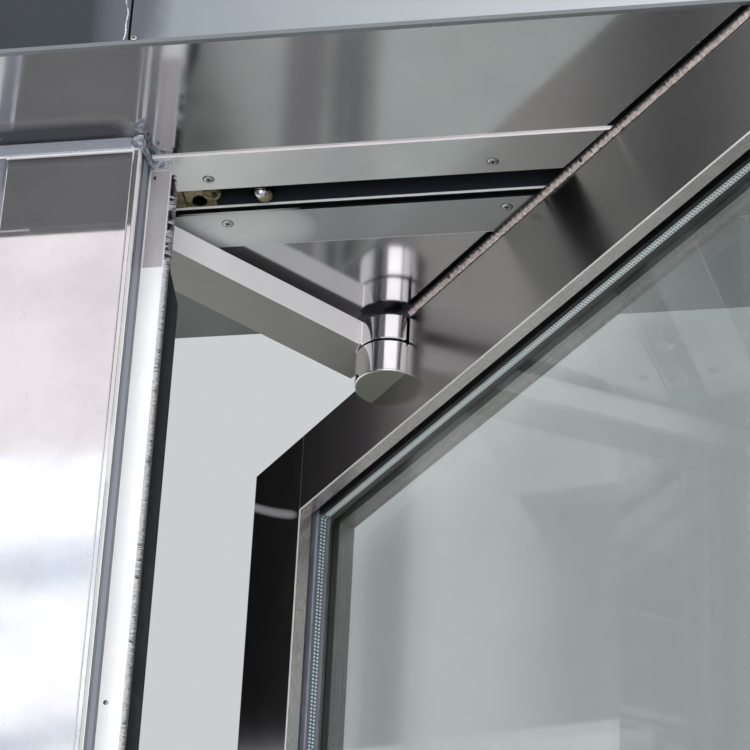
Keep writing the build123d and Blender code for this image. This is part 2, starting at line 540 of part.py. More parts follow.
with BuildPart() as left_edge_seal:
    bar(LEAF, PANE_LEFT, PANE_RIGHT, OUTER_PANE_BACK, INNER_PANE_FRONT, PANE_BOTTOM, PANE_TOP)
    bar(LEAF, SIGHT_LEFT, SIGHT_RIGHT, OUTER_PANE_BACK, INNER_PANE_FRONT, SIGHT_BOTTOM, SIGHT_TOP,
        mode=Mode.SUBTRACT)
    bar(LEAF, SIGHT_LEFT - SPACER_THICK, SIGHT_RIGHT + SPACER_THICK, SPACER_FRONT, SPACER_BACK,
        SIGHT_BOTTOM - SPACER_THICK, SIGHT_TOP + SPACER_THICK, mode=Mode.SUBTRACT)
left_edge_seal.part.label = "left_edge_seal"
export_step(left_edge_seal.part, "parts/left_edge_seal.step")

BRUSH_START = SWEEP_R + LEAF_BRUSH_GAP
with BuildPart() as left_leaf_brushes:
    bar(LEAF, BRUSH_START, LATCH_LENGTH, 0, LEAF_BRUSH_THICK, LEAF_TOP, SWING_TOP)
    bar(LEAF, BRUSH_START, LATCH_LENGTH, 0, LEAF_BRUSH_THICK, SWING_BOTTOM, LEAF_BOTTOM)
    bar(LEAF, LATCH_LENGTH, LATCH_LENGTH + MEETING_BRUSH_PROUD, HALF_THICK - MEETING_BRUSH_THICK / 2,
        HALF_THICK + MEETING_BRUSH_THICK / 2, LEAF_BOTTOM, LEAF_TOP)
left_leaf_brushes.part.label = "left_leaf_brushes"
export_step(left_leaf_brushes.part, "parts/left_leaf_brushes.step")

ROLLER_BASE = SOFFIT_TOP + ROLLER_LIFT
ROLLER_TOP = ROLLER_BASE + ROLLER_HEIGHT
with BuildPart() as left_guide:
    bar(LEAF, ARM_LENGTH - GUIDE_PLATE_LENGTH / 2, ARM_LENGTH + GUIDE_PLATE_LENGTH / 2,
        HALF_THICK - GUIDE_PLATE_WIDTH / 2, HALF_THICK + GUIDE_PLATE_WIDTH / 2, LEAF_TOP, SWING_TOP)
    turned(LEAF, ARM_LENGTH, HALF_THICK,
           (0, SWING_TOP), (ROLLER_PIN_R, SWING_TOP), (ROLLER_PIN_R, ROLLER_BASE),
           (ROLLER_R - ROLLER_EDGE, ROLLER_BASE), (ROLLER_R, ROLLER_BASE + ROLLER_EDGE),
           (ROLLER_R, ROLLER_TOP - ROLLER_EDGE), (ROLLER_R - ROLLER_EDGE, ROLLER_TOP), (0, ROLLER_TOP))
left_guide.part.label = "left_guide"
export_step(left_guide.part, "parts/left_guide.step")

PULL_X = GLASS_RIGHT + STILE_WIDTH / 2
with BuildPart() as left_pull:
    rod(LEAF, PULL_X, -PULL_STAND, PULL_R, PULL_MIDDLE_HEIGHT - PULL_LENGTH / 2,
        PULL_MIDDLE_HEIGHT + PULL_LENGTH / 2)
    fillet(left_pull.faces().filter_by(Axis.Z).edges(), PULL_EDGE)
    for lift in (-PULL_POST_SPACING / 2, PULL_POST_SPACING / 2):
        foot = LEAF.from_local_coords(Vector(PULL_X, 0, PULL_MIDDLE_HEIGHT + lift))
        with BuildSketch(Plane(origin=foot, x_dir=LEAF.x_dir, z_dir=-LEAF.y_dir)) as post_section:
            Circle(PULL_POST_R)
        extrude(post_section.sketch, amount=PULL_STAND)
        with BuildSketch(Plane(origin=foot, x_dir=LEAF.x_dir, z_dir=-LEAF.y_dir)) as rose_section:
            Circle(PULL_ROSE_R)
        extrude(rose_section.sketch, amount=PULL_ROSE_THICK)
left_pull.part.label = "left_pull"
export_step(left_pull.part, "parts/left_pull.step")

for source, label in (
        (left_hinge_stile, "right_hinge_stile"), (left_latch_stile, "right_latch_stile"),
        (left_top_rail, "right_top_rail"), (left_bottom_rail, "right_bottom_rail"),
        (left_knuckles, "right_knuckles"), (left_glazing_beads, "right_glazing_beads"),
        (left_glass, "right_glass"), (left_spacer, "right_spacer"),
        (left_edge_seal, "right_edge_seal"), (left_leaf_brushes, "right_leaf_brushes"),
        (left_guide, "right_guide"), (left_pull, "right_pull")):
    with BuildPart() as right_leaf_piece:
        mirror(source.part, about=Plane.YZ)
    right_leaf_piece.part.label = label
    export_step(right_leaf_piece.part, "parts/" + label + ".step")
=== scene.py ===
"""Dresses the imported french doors: finishes, seals, screws, studio and camera."""
import json
import logging
import math
import random
from collections.abc import Iterator
from dataclasses import dataclass
from enum import Enum

import bmesh
import bpy
from mathutils import Matrix, Vector


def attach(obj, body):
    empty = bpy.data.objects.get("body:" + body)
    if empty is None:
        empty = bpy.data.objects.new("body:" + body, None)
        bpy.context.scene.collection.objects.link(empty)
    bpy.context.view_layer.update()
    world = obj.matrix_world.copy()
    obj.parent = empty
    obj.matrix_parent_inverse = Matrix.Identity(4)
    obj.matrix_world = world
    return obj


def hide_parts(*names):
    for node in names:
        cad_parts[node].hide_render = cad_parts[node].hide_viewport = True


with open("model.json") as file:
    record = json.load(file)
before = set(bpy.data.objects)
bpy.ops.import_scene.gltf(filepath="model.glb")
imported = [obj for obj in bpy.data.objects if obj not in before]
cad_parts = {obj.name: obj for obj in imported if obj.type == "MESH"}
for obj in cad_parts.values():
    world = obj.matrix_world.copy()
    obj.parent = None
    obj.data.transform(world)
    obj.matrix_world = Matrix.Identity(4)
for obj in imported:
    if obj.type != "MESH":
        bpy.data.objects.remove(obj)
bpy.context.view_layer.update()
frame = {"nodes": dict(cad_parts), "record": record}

LOG = logging.getLogger("french_doors")
Colour = tuple[float, float, float]
Point = tuple[float, float, float]


def linear(code: str) -> Colour:
    """Turn a display colour such as 8c8f90 into linear light.

    Args:
        code: Six hexadecimal digits.

    Returns:
        The red, green and blue parts in linear light.
    """
    parts = [int(code[i:i + 2], 16) / 255 for i in (0, 2, 4)]
    return tuple(p / 12.92 if p <= 0.04045 else ((p + 0.055) / 1.055) ** 2.4 for p in parts)


class Body(Enum):
    """The moving groups of the CAD model that new pieces ride on."""

    FRAME = "frame"
    LEFT_LEAF = "left_leaf"
    RIGHT_LEAF = "right_leaf"


class Side(Enum):
    """Which half of the doors a piece belongs to."""

    LEFT = "left"
    RIGHT = "right"

    @property
    def leaf(self) -> Body:
        """The leaf body of this half."""
        return Body.LEFT_LEAF if self is Side.LEFT else Body.RIGHT_LEAF

    @property
    def sign(self) -> float:
        """The sign of X on this half."""
        return -1.0 if self is Side.LEFT else 1.0

    @property
    def mirror(self) -> Matrix:
        """Identity on the left, a flip of X on the right."""
        return Matrix.Diagonal((-self.sign, 1.0, 1.0, 1.0))


class Axis(Enum):
    """What a tone is measured along: a coordinate, or the distance from the knuckle axis."""

    X = 0
    Y = 1
    Z = 2
    AROUND = 3


class Grain(Enum):
    """Direction that a brushed or rolled finish runs in."""

    ALONG_WALL = "x"
    UPRIGHT = "z"
    ALONG_LEAF = "leaf"
    ALONG_ARM = "arm"
    NONE = "none"

    @property
    def turn(self) -> float:
        """Angle from the wall to the X axis of the finish."""
        rest = DoorSizes.rest_angle
        return {Grain.ALONG_LEAF: rest, Grain.ALONG_ARM: -rest}.get(self, 0.0)

    @property
    def lines(self) -> Point:
        """Frequency of the fine lines along each axis, per metre."""
        slow, fine, even = 14.0, 2600.0, 260.0
        return {Grain.UPRIGHT: (fine, fine, slow), Grain.NONE: (even, even, even)}.get(self, (slow, fine, fine))


@dataclass(frozen=True)
class DoorSizes:
    """Sizes of the CAD model that new pieces are placed by, in metres."""

    leaf_width: float = 0.900
    leaf_thick: float = 0.057
    hinge_length: float = 0.242
    meeting_gap: float = 0.012
    arm_length: float = 0.2885
    rest_angle: float = math.radians(50.0)
    leaf_top: float = 2.390
    swing_top: float = 2.393
    plate_face: float = 2.398
    soffit: float = 2.400
    brush_start: float = 0.034
    strip_edge: float = 0.066
    strip_back: float = -0.057
    strip_top: float = 2.390
    header_front: float = -0.213
    header_rear: float = 0.204
    header_height: float = 0.120
    mid_height: float = 1.205

    @property
    def shaft_x(self) -> float:
        """Distance of a jamb shaft from the middle."""
        return self.arm_length - self.hinge_length + self.leaf_width + self.meeting_gap / 2

    @property
    def latch_length(self) -> float:
        """Distance from the knuckle axis to the latch edge."""
        return self.leaf_width - self.hinge_length

    @property
    def pivot(self) -> Vector:
        """The left knuckle axis on the floor plane."""
        c, s, half = math.cos(self.rest_angle), math.sin(self.rest_angle), self.leaf_thick / 2
        return Vector((self.arm_length * c + half * s - self.shaft_x, self.arm_length * s - half * c, 0.0))

    def leaf_frame(self, side: Side) -> Matrix:
        """Give the frame of a leaf.

        Args:
            side: Left or right half.

        Returns:
            A matrix that takes (along the leaf, inwards, up) to the world.
        """
        c, s = math.cos(self.rest_angle), math.sin(self.rest_angle)
        turn = Matrix(((c, s, 0, 0), (-s, c, 0, 0), (0, 0, 1, 0), (0, 0, 0, 1)))
        return side.mirror @ Matrix.Translation(self.pivot) @ turn

    def jamb_frame(self, side: Side) -> Matrix:
        """Matrix from coordinates about the jamb shaft to the world."""
        return side.mirror @ Matrix.Translation((-self.shaft_x, 0.0, 0.0))


class Wire:
    """A shader socket that can be used in sums.

    Attributes:
        graph: The node tree it belongs to.
        socket: The output socket itself.
    """

    def __init__(self, graph: "Graph", socket: bpy.types.NodeSocket) -> None:
        """Wrap a socket of a graph."""
        self.graph = graph
        self.socket = socket

    def _math(self, operation: str, *values: "Wire | float") -> "Wire":
        """Add a Math node on these values."""
        return self.graph.node("ShaderNodeMath", {"operation": operation}, dict(enumerate(values)))

    def __add__(self, other: "Wire | float") -> "Wire":
        """The sum."""
        return self._math("ADD", self, other)

    __radd__ = __add__

    def __sub__(self, other: "Wire | float") -> "Wire":
        """The difference."""
        return self._math("SUBTRACT", self, other)

    def __rsub__(self, other: float) -> "Wire":
        """The difference from a number."""
        return self._math("SUBTRACT", other, self)

    def __mul__(self, other: "Wire | float") -> "Wire":
        """The product."""
        return self._math("MULTIPLY", self, other)

    __rmul__ = __mul__

    def __pow__(self, power: float) -> "Wire":
        """A power of this value."""
        return self._math("POWER", self, power)

    def __gt__(self, other: "Wire | float") -> "Wire":
        """One where this value is the greater, else zero."""
        return self._math("GREATER_THAN", self, other)

    def __lt__(self, other: "Wire | float") -> "Wire":
        """One where this value is the smaller, else zero."""
        return self._math("LESS_THAN", self, other)

    def __abs__(self) -> "Wire":
        """The value without its sign."""
        return self._math("ABSOLUTE", self)

    def sine(self) -> "Wire":
        """The sine of this value."""
        return self._math("SINE", self)

    def larger(self, other: "Wire") -> "Wire":
        """The larger of two values."""
        return self._math("MAXIMUM", self, other)

    def within(self, low: float, high: float, to_low: float = 0.0, to_high: float = 1.0) -> "Wire":
        """Map a span of this value to another one, clamped.

        Args:
            low: Start of the span.
            high: End of the span, which may be the lower one.
            to_low: Result at the start.
            to_high: Result at the end.

        Returns:
            The mapped value.
        """
        return self.graph.node("ShaderNodeMapRange", {}, {
            "Value": self, "From Min": low, "From Max": high, "To Min": to_low, "To Max": to_high})


class Graph:
    """The node tree of a material or of the world.

    Attributes:
        owner: The material or world.
    """

    def __init__(self, name: str, kind: str = "Material") -> None:
        """Start an empty tree.

        Args:
            name: Name of the material or world.
            kind: Material or World.
        """
        self.kind = kind
        self.owner = (bpy.data.materials if kind == "Material" else bpy.data.worlds).new(name)
        self.owner.use_nodes = True
        self.owner.node_tree.nodes.clear()

    def _plug(self, slot: bpy.types.NodeSocket, value: "Wire | float | tuple") -> None:
        """Link a wire into a socket, or set the socket's own value.

        Args:
            slot: The input socket.
            value: What goes into it; a colour has three parts.
        """
        if isinstance(value, Wire):
            self.owner.node_tree.links.new(value.socket, slot)
        else:
            slot.default_value = (*value, 1.0) if slot.type == "RGBA" else value

    @staticmethod
    def _set_stops(elements: bpy.types.ColorRampElements, stops: tuple[tuple[float, Colour], ...]) -> None:
        """Give a ramp its stops, of which a new ramp has two.

        Args:
            elements: The stops of the new ramp.
            stops: Place and colour of each.
        """
        for place, _ in stops[2:]:
            elements.new(place)
        for element, (place, colour) in zip(elements, stops):
            element.position, element.color = place, (*colour, 1.0)

    def node(self, kind: str, settings: dict, sockets: dict, output: str | int = 0) -> Wire | None:
        """Add a node.

        Args:
            kind: Blender's name of the node type.
            settings: Its properties, with the stops of a ramp among them, set before its sockets.
            sockets: Values or wires by the name or number of the socket.
            output: Which output to return.

        Returns:
            The chosen output as a wire, or nothing where the node has none.
        """
        made = self.owner.node_tree.nodes.new(kind)
        for key, value in settings.items():
            if key == "stops":
                self._set_stops(made.color_ramp.elements, value)
            else:
                setattr(made.color_ramp if key == "interpolation" else made, key, value)
        for key, value in sockets.items():
            self._plug(made.inputs[key], value)
        return Wire(self, made.outputs[output]) if made.outputs else None

    def _vector(self, operation: str, a: Wire, b: Point | None = None, output: str = "Vector") -> Wire:
        """Add a Vector Math node."""
        sockets = {0: a} if b is None else {0: a, 1: b}
        return self.node("ShaderNodeVectorMath", {"operation": operation}, sockets, output)

    def world_place(self) -> Wire:
        """Object coordinates, which are world coordinates on a piece at the origin."""
        return self.node("ShaderNodeTexCoord", {}, {}, "Object")

    def place(self, grain: Grain = Grain.NONE) -> Wire:
        """Object coordinates, folded about the middle plane and turned to the grain.

        Args:
            grain: Which piece the local X axis follows.

        Returns:
            A vector wire in metres.
        """
        raw = self.world_place()
        x, y, z = (self.axis(raw, axis) for axis in (Axis.X, Axis.Y, Axis.Z))
        vector = self.node("ShaderNodeCombineXYZ", {}, {0: abs(x) * -1.0, 1: y, 2: z})
        if grain.turn:
            pivot = tuple(DoorSizes().pivot)
            vector = self.node("ShaderNodeVectorRotate", {"rotation_type": "Z_AXIS"}, {
                "Vector": vector, "Center": pivot, "Angle": grain.turn})
            vector = self._vector("SUBTRACT", vector, pivot)
        return vector

    def axis(self, vector: Wire, axis: Axis) -> Wire:
        """One part of a vector, or its distance from the Z axis.

        Args:
            vector: The vector.
            axis: Which part.

        Returns:
            That part as a value.
        """
        if axis is Axis.AROUND:
            return self._vector("LENGTH", self._vector("MULTIPLY", vector, (1.0, 1.0, 0.0)), output="Value")
        return self.node("ShaderNodeSeparateXYZ", {}, {0: vector}, axis.value)

    def noise(self, vector: Wire, pitch: Point | float, detail: float = 3.0, rough: float = 0.55) -> Wire:
        """Add noise with its own frequency along each axis.

        Args:
            vector: Where it is read.
            pitch: Frequency per metre, for all axes or for each.
            detail: Number of octaves.
            rough: Weight of the finer octaves.

        Returns:
            A value about one half.
        """
        scaled = self._vector("MULTIPLY", vector, pitch if isinstance(pitch, tuple) else (pitch,) * 3)
        return self.node("ShaderNodeTexNoise", {}, {
            "Vector": scaled, "Scale": 1.0, "Detail": detail, "Roughness": rough})

    def blend(self, share: Wire, a: "Wire | Colour | str", b: "Wire | Colour | str") -> Wire:
        """Mix two colours.

        Args:
            share: How much of the second colour there is.
            a: First colour; text is a display colour.
            b: Second colour.

        Returns:
            The mixed colour.
        """
        a, b = (linear(c) if isinstance(c, str) else c for c in (a, b))
        return self.node("ShaderNodeMix", {"data_type": "RGBA"}, {0: share, 6: a, 7: b}, 2)

    def ramp(self, value: Wire, stops: tuple[tuple[float, Colour], ...], easing: str = "LINEAR") -> Wire:
        """A colour ramp over 0 to 1."""
        return self.node("ShaderNodeValToRGB", {"interpolation": easing, "stops": stops}, {0: value})

    def bump(self, height: Wire, distance: float, strength: float = 1.0) -> Wire:
        """A surface normal from a height."""
        return self.node("ShaderNodeBump", {}, {"Height": height, "Distance": distance, "Strength": strength})

    def mix_shaders(self, share: Wire, a: Wire, b: Wire) -> Wire:
        """Mix two shaders."""
        return self.node("ShaderNodeMixShader", {}, {0: share, 1: a, 2: b})

    def surface(self, colour: Wire | Colour, rough: Wire | float, **others: "Wire | float") -> Wire:
        """Add a Principled shader.

        Args:
            colour: Its base colour.
            rough: Its roughness.
            **others: Its other inputs, with the spaces of their names written as underscores.

        Returns:
            The shader.
        """
        named = {key.replace("_", " "): value for key, value in others.items()}
        return self.node("ShaderNodeBsdfPrincipled", {}, {"Base Color": colour, "Roughness": rough, **named})

    def finish(self, shader: Wire) -> bpy.types.ID:
        """Plug the shader into an output and give the material or world back."""
        self.node(f"ShaderNodeOutput{self.kind}", {}, {0: shader})
        return self.owner


@dataclass(frozen=True)
class Zone:
    """A part of a piece with its own tone.

    Attributes:
        axis: What the span is measured along.
        centre: Middle of the span in metres.
        reach: Half of the span in metres.
        tone: Display colour there.
        metallic: Metallic value there.
        polish: Roughness there, or nothing where it stays.
        beyond: Whether the tone lies outside the span, not inside it.
    """

    axis: Axis
    centre: float
    reach: float
    tone: str
    metallic: float = 1.0
    polish: float | None = None
    beyond: bool = False

    def share(self, g: Graph, place: Wire) -> Wire:
        """One inside the zone, else zero."""
        away = abs(g.axis(place, self.axis) - self.centre)
        return away > self.reach if self.beyond else away < self.reach


@dataclass(frozen=True)
class Fade:
    """A slow change of tone along one axis.

    Attributes:
        axis: What it runs along.
        start: Where it begins, in metres.
        end: Where it is complete.
        tone: Display colour at the end.
        metallic: Metallic value at the end.
        polish: Roughness at the end, or nothing where it stays.
    """

    axis: Axis
    start: float
    end: float
    tone: str
    metallic: float
    polish: float | None = None

    def share(self, g: Graph, place: Wire, blotches: Wire) -> Wire:
        """Zero before the start to one past the end, with a wavering edge."""
        return (g.axis(place, self.axis) + (blotches - 0.5) * 0.05).within(self.start, self.end)


@dataclass(frozen=True)
class Mark:
    """A soft patch of another tone, laid out in two coordinates; most stand for painted light and shade.

    Attributes:
        axes: Which two coordinates it lies in.
        centre: Its middle in metres.
        reach: Half its length and half its width in metres.
        tone: Display colour in its middle.
        metallic: Metallic value in its middle.
        tilt: Rise of its centre line along its length.
        bend: How its centre line bows, per metre.
        blunt: Power of its length term; 2 tapers the ends, more squares them.
    """

    axes: tuple[Axis, Axis]
    centre: tuple[float, float]
    reach: tuple[float, float]
    tone: str
    metallic: float
    tilt: float = 0.0
    bend: float = 0.0
    blunt: float = 2.0

    def share(self, g: Graph, place: Wire, blotches: Wire) -> Wire:
        """One in the middle of the mark, falling to zero at its edge.

        Args:
            g: The tree of the finish.
            place: Where it is read, in metres.
            blotches: Noise that breaks the mark up.

        Returns:
            The share of the mark.
        """
        along, across = (g.axis(place, axis) - middle for axis, middle in zip(self.axes, self.centre))
        off = across - along * self.tilt - along * along * self.bend
        length = abs(along * (1.0 / self.reach[0])) ** self.blunt
        width = abs(off * (1.0 / self.reach[1])) ** 2.0
        return (1.0 - length - width).within(0.0, 0.9) * blotches.within(0.1, 0.4)


@dataclass(frozen=True)
class Finish:
    """A finish that can make its material."""

    name: str

    def build(self) -> bpy.types.Material:
        """Make the material.

        Returns:
            The material, ready for a piece.
        """
        raise NotImplementedError


@dataclass(frozen=True)
class Metal(Finish):
    """A metal finish.

    Attributes:
        tone: Display colour of the clean metal.
        stain: Display colour of its dull patches.
        roughness: Mean roughness.
        grain: Direction of the fine lines.
        lines: How strongly the lines show in the roughness.
        smudge: How strongly wiped marks show in the roughness.
        patch: How strongly the dull patches show.
        metallic: Metallic value of the clean metal.
        zones: Parts with their own tone, in order.
        bumpy: Strength of the bump.
        fade: A slow change of tone, which the zones cover.
        spread: Frequency of the dull patches, per metre.
        marks: Soft marks, which cover the zones.
    """

    tone: str
    stain: str
    roughness: float
    grain: Grain
    lines: float = 0.05
    # smudge: How strongly the blotches show in the roughness.
    smudge: float = 0.05
    patch: float = 0.5
    metallic: float = 1.0
    zones: tuple[Zone, ...] = ()
    bumpy: float = 0.3
    fade: Fade | None = None
    spread: float = 9.0
    marks: tuple[Mark, ...] = ()

    BLOTCH_PITCH = (26.0, 26.0, 11.0)
    SPECK_PITCH = 340.0
    LINE_DEPTH = 0.00003

    def build(self) -> bpy.types.Material:
        """Make the material.

        Returns:
            The material, ready for a piece.
        """
        g = Graph(self.name)
        place = g.place(self.grain)
        lines = g.noise(place, self.grain.lines, 2.0)
        patches = g.noise(place, self.spread, 5.0, 0.6)
        blotches = g.noise(place, self.BLOTCH_PITCH, 4.0, 0.65)
        specks = g.noise(place, self.SPECK_PITCH, 2.0)
        colour = g.blend(patches.within(0.42, 0.78) * self.patch, self.tone, self.stain)
        colour = g.blend(specks.within(0.66, 0.74) * 0.35, colour, self.stain)
        metallic: Wire | float = self.metallic
        rough = (lines - 0.5) * self.lines * 2.0 + (blotches - 0.5) * self.smudge * 2.0 + self.roughness
        if self.fade:
            share = self.fade.share(g, place, blotches)
            colour = g.blend(share, colour, self.fade.tone)
            metallic = share * (self.fade.metallic - self.metallic) + self.metallic
            if self.fade.polish is not None:
                rough = share * (self.fade.polish - self.roughness) + rough
        for zone in self.zones:
            share = zone.share(g, place)
            clean = linear(zone.tone)
            colour = g.blend(share, colour, g.blend(patches, clean, tuple(0.8 * part for part in clean)))
            if zone.metallic != self.metallic:
                metallic = share * (zone.metallic - self.metallic) + metallic
            if zone.polish is not None:
                rough = share * (zone.polish - self.roughness) + rough
        for mark in self.marks:
            share = mark.share(g, place, blotches)
            colour = g.blend(share, colour, mark.tone)
            metallic = share * (mark.metallic - self.metallic) + metallic
        normal = g.bump(lines * 0.7 + specks * 0.3, self.LINE_DEPTH, self.bumpy)
        return g.finish(g.surface(colour, rough, Metallic=metallic, Normal=normal))


@dataclass(frozen=True)
class Rubber(Finish):
    """A dull rubber or paint; some near-black ones also stand for painted shade in holes, recesses and gaps.

    Attributes:
        tone: Display colour.
        dust_and_painted_light: Display colour where dust lies.
        roughness: Mean roughness.
        shine: Strength of its highlight.
    """

    tone: str
    dust_and_painted_light: str
    roughness: float
    shine: float = 0.5

    def build(self) -> bpy.types.Material:
        """Make the material.

        Returns:
            The material, ready for a piece.
        """
        g = Graph(self.name)
        place = g.place()
        lumps = g.noise(place, (140.0, 140.0, 90.0), 4.0, 0.6)
        dust = g.noise(place, (24.0, 24.0, 16.0), 5.0, 0.7)
        rough = lumps.within(0.2, 0.8, self.roughness - 0.12, self.roughness + 0.12)
        return g.finish(g.surface(g.blend(dust.within(0.5, 0.8), self.tone, self.dust_and_painted_light), rough,
                                  Specular_IOR_Level=self.shine, Normal=g.bump(lumps, 0.0004)))


@dataclass(frozen=True)
class Bristle(Finish):
    """Brush pile, darker between the tufts as painted shade, with patches of dirt.

    Attributes:
        tone: Display colour of the tips.
        dark: Display colour between the tufts, a painted shade.
    """

    tone: str
    dark: str

    def build(self) -> bpy.types.Material:
        """Make the material.

        Returns:
            The material, ready for a piece.
        """
        g = Graph(self.name)
        place = g.place()
        tufts = g.noise(place, 420.0, 3.0, 0.7)
        dirt = g.noise(place, (60.0, 60.0, 26.0), 5.0, 0.7)
        # Painted shade: darker between the tufts. The 4c4742 patches below are dirt.
        colour = g.blend(tufts.within(0.3, 0.7), self.dark, self.tone)
        colour = g.blend(dirt.within(0.60, 0.8) * 0.6, colour, "4c4742")
        return g.finish(g.surface(colour, 0.85, Sheen_Weight=0.3, Normal=g.bump(tufts, 0.0008)))


@dataclass(frozen=True)
class Film(Finish):
    """Creased clear film, painted as an opaque pale blue-grey, with painted light and shade along its creases."""

    name: str = "film"

    def build(self) -> bpy.types.Material:
        """Make the material.

        Returns:
            The material, ready for a piece.
        """
        g = Graph(self.name)
        creases = g.noise(g.place(), 180.0, 4.0, 0.6)
        # Painted light and shade: the colour runs from dark blue-grey to near white along the creases.
        return g.finish(g.surface(g.blend(creases.within(0.35, 0.65), "76809a", "f4f6fc"), 0.22,
                                  Specular_IOR_Level=0.8, Normal=g.bump(creases, 0.0012)))


@dataclass(frozen=True)
class Glass(Finish):
    """Clear glass with a thin veil of dust that thins out towards the edges.

    Attributes:
        tint: Colour of the light that passes.
        mirror: Colour of what it reflects.
        edge_shine: Share of the reflection at the edge of the pane.
        inner_shine: What the middle of the pane adds to that share.
    """

    name: str = "clear_glass"
    tint: Colour = (0.968, 0.980, 0.976)
    mirror: Colour = (0.90, 0.93, 0.92)
    edge_shine: float = 0.08
    inner_shine: float = 0.20

    def build(self) -> bpy.types.Material:
        """Make the material.

        Returns:
            The material, ready for a piece.
        """
        g = Graph(self.name)
        place = g.place(Grain.ALONG_LEAF)
        dust = g.noise(place, 5.0, 6.0, 0.65)
        spots = g.noise(place, 160.0, 2.0)
        fresnel = g.node("ShaderNodeFresnel", {}, {"IOR": 1.45})
        clear = g.node("ShaderNodeBsdfTransparent", {}, {"Color": self.tint})
        shine = g.surface(self.mirror, dust.within(0.3, 0.8, 0.02, 0.06), Metallic=1.0)
        veil = g.surface(linear("aeb6b4"), 0.6)
        inset = g.axis(place, Axis.X).within(-0.145, -0.050) * g.axis(place, Axis.Z).within(2.275, 2.190)
        clean = g.mix_shaders(fresnel * (inset * self.inner_shine + self.edge_shine), clear, shine)
        dirt = (dust.within(0.30, 0.80, 0.03, 0.09) + (spots > 0.745) * 0.25) * inset
        return g.finish(g.mix_shaders(dirt, clean, veil))


@dataclass(frozen=True)
class SpacerBar(Finish):
    """The bar between the panes: two rows of small holes between beads of sealant.

    Attributes:
        pitch: Distance from hole to hole.
        middle: Depth of the bar's centre line in the leaf.
        row: Distance of a row of holes from the centre line.
        hole: Half width of a row.
        face: Half width of the bar.
        side_x: Where the upright bar stands along the leaf.
        side_reach: Half of the span that counts as the upright bar.
    """

    name: str = "spacer_aluminium"
    pitch: float = 0.0036
    middle: float = 0.0240
    row: float = 0.0016
    hole: float = 0.0009
    face: float = 0.0030
    side_x: float = -0.1475
    side_reach: float = 0.0040

    def build(self) -> bpy.types.Material:
        """Make the material.

        Returns:
            The material, ready for a piece.
        """
        g = Graph(self.name)
        place = g.place(Grain.ALONG_LEAF)
        along, depth, up = (g.axis(place, axis) for axis in (Axis.X, Axis.Y, Axis.Z))
        rows = abs(depth - self.middle)
        run = (along + up) * (2.0 * math.pi / self.pitch)
        hole = (run.sine() > -0.1) * (abs(rows - self.row) < self.hole)
        scuff = g.noise(place, (120.0, 120.0, 40.0), 3.0)
        grime = g.noise(place, (420.0, 420.0, 260.0), 4.0, 0.7)
        upright = abs(along - self.side_x) < self.side_reach
        pale = g.blend(scuff, "ffffff", "dfeaf0")
        # Painted light and shade: the upright bar takes other tones than the head bar, pale holes on grey and a
        # grey-blue sealant.
        bar = g.blend(upright, g.blend(hole, pale, "7d858a"), g.blend(hole, "4a626d", pale))
        seal = g.blend(grime.within(0.50, 0.75), "0d0f13", "3a3634")
        seal = g.blend(upright * 0.75, seal, "7a7c8c")
        metal = rows < upright * 0.0004 + self.face
        return g.finish(g.surface(g.blend(metal, seal, bar), scuff.within(0.2, 0.8, 0.25, 0.45),
                                  Metallic=metal * hole * 0.25, Normal=g.bump(hole, 0.0003)))


@dataclass(frozen=True)
class EdgeSealant(Finish):
    """Black sealant at the head of a pane; down its sides it is painted a lighter, streaked blue-grey as painted light,
    lightest at the inner pane.

    Attributes:
        centre: Middle of the pane along the leaf.
        reach: Distance from there to the sides, which are painted lighter.
        inner: Depth past which the sealant lies at the inner pane.
    """

    name: str = "edge_sealant"
    centre: float = 0.208
    reach: float = 0.3535
    inner: float = 0.0297

    def build(self) -> bpy.types.Material:
        """Make the material.

        Returns:
            The material, ready for a piece.
        """
        g = Graph(self.name)
        place = g.place(Grain.ALONG_LEAF)
        streaks = g.noise(place, (160.0, 160.0, 30.0), 4.0, 0.65)
        wave = (g.noise(place, 40.0, 3.0) - 0.5) * 0.002
        side = abs(g.axis(place, Axis.X) + wave - self.centre) > self.reach
        # Painted light: the sides are lighter blue-grey than the black head, and lighter still at the inner pane.
        dust_and_painted_light = g.blend(g.axis(place, Axis.Y) > self.inner, g.blend(streaks, "666776", "cdcfe0"),
                       g.blend(streaks, "29262e", "837e8a"))
        return g.finish(g.surface(g.blend(side, "0c0e10", dust_and_painted_light), streaks.within(0.2, 0.8, 0.3, 0.5),
                                  Normal=g.bump(streaks, 0.0003)))


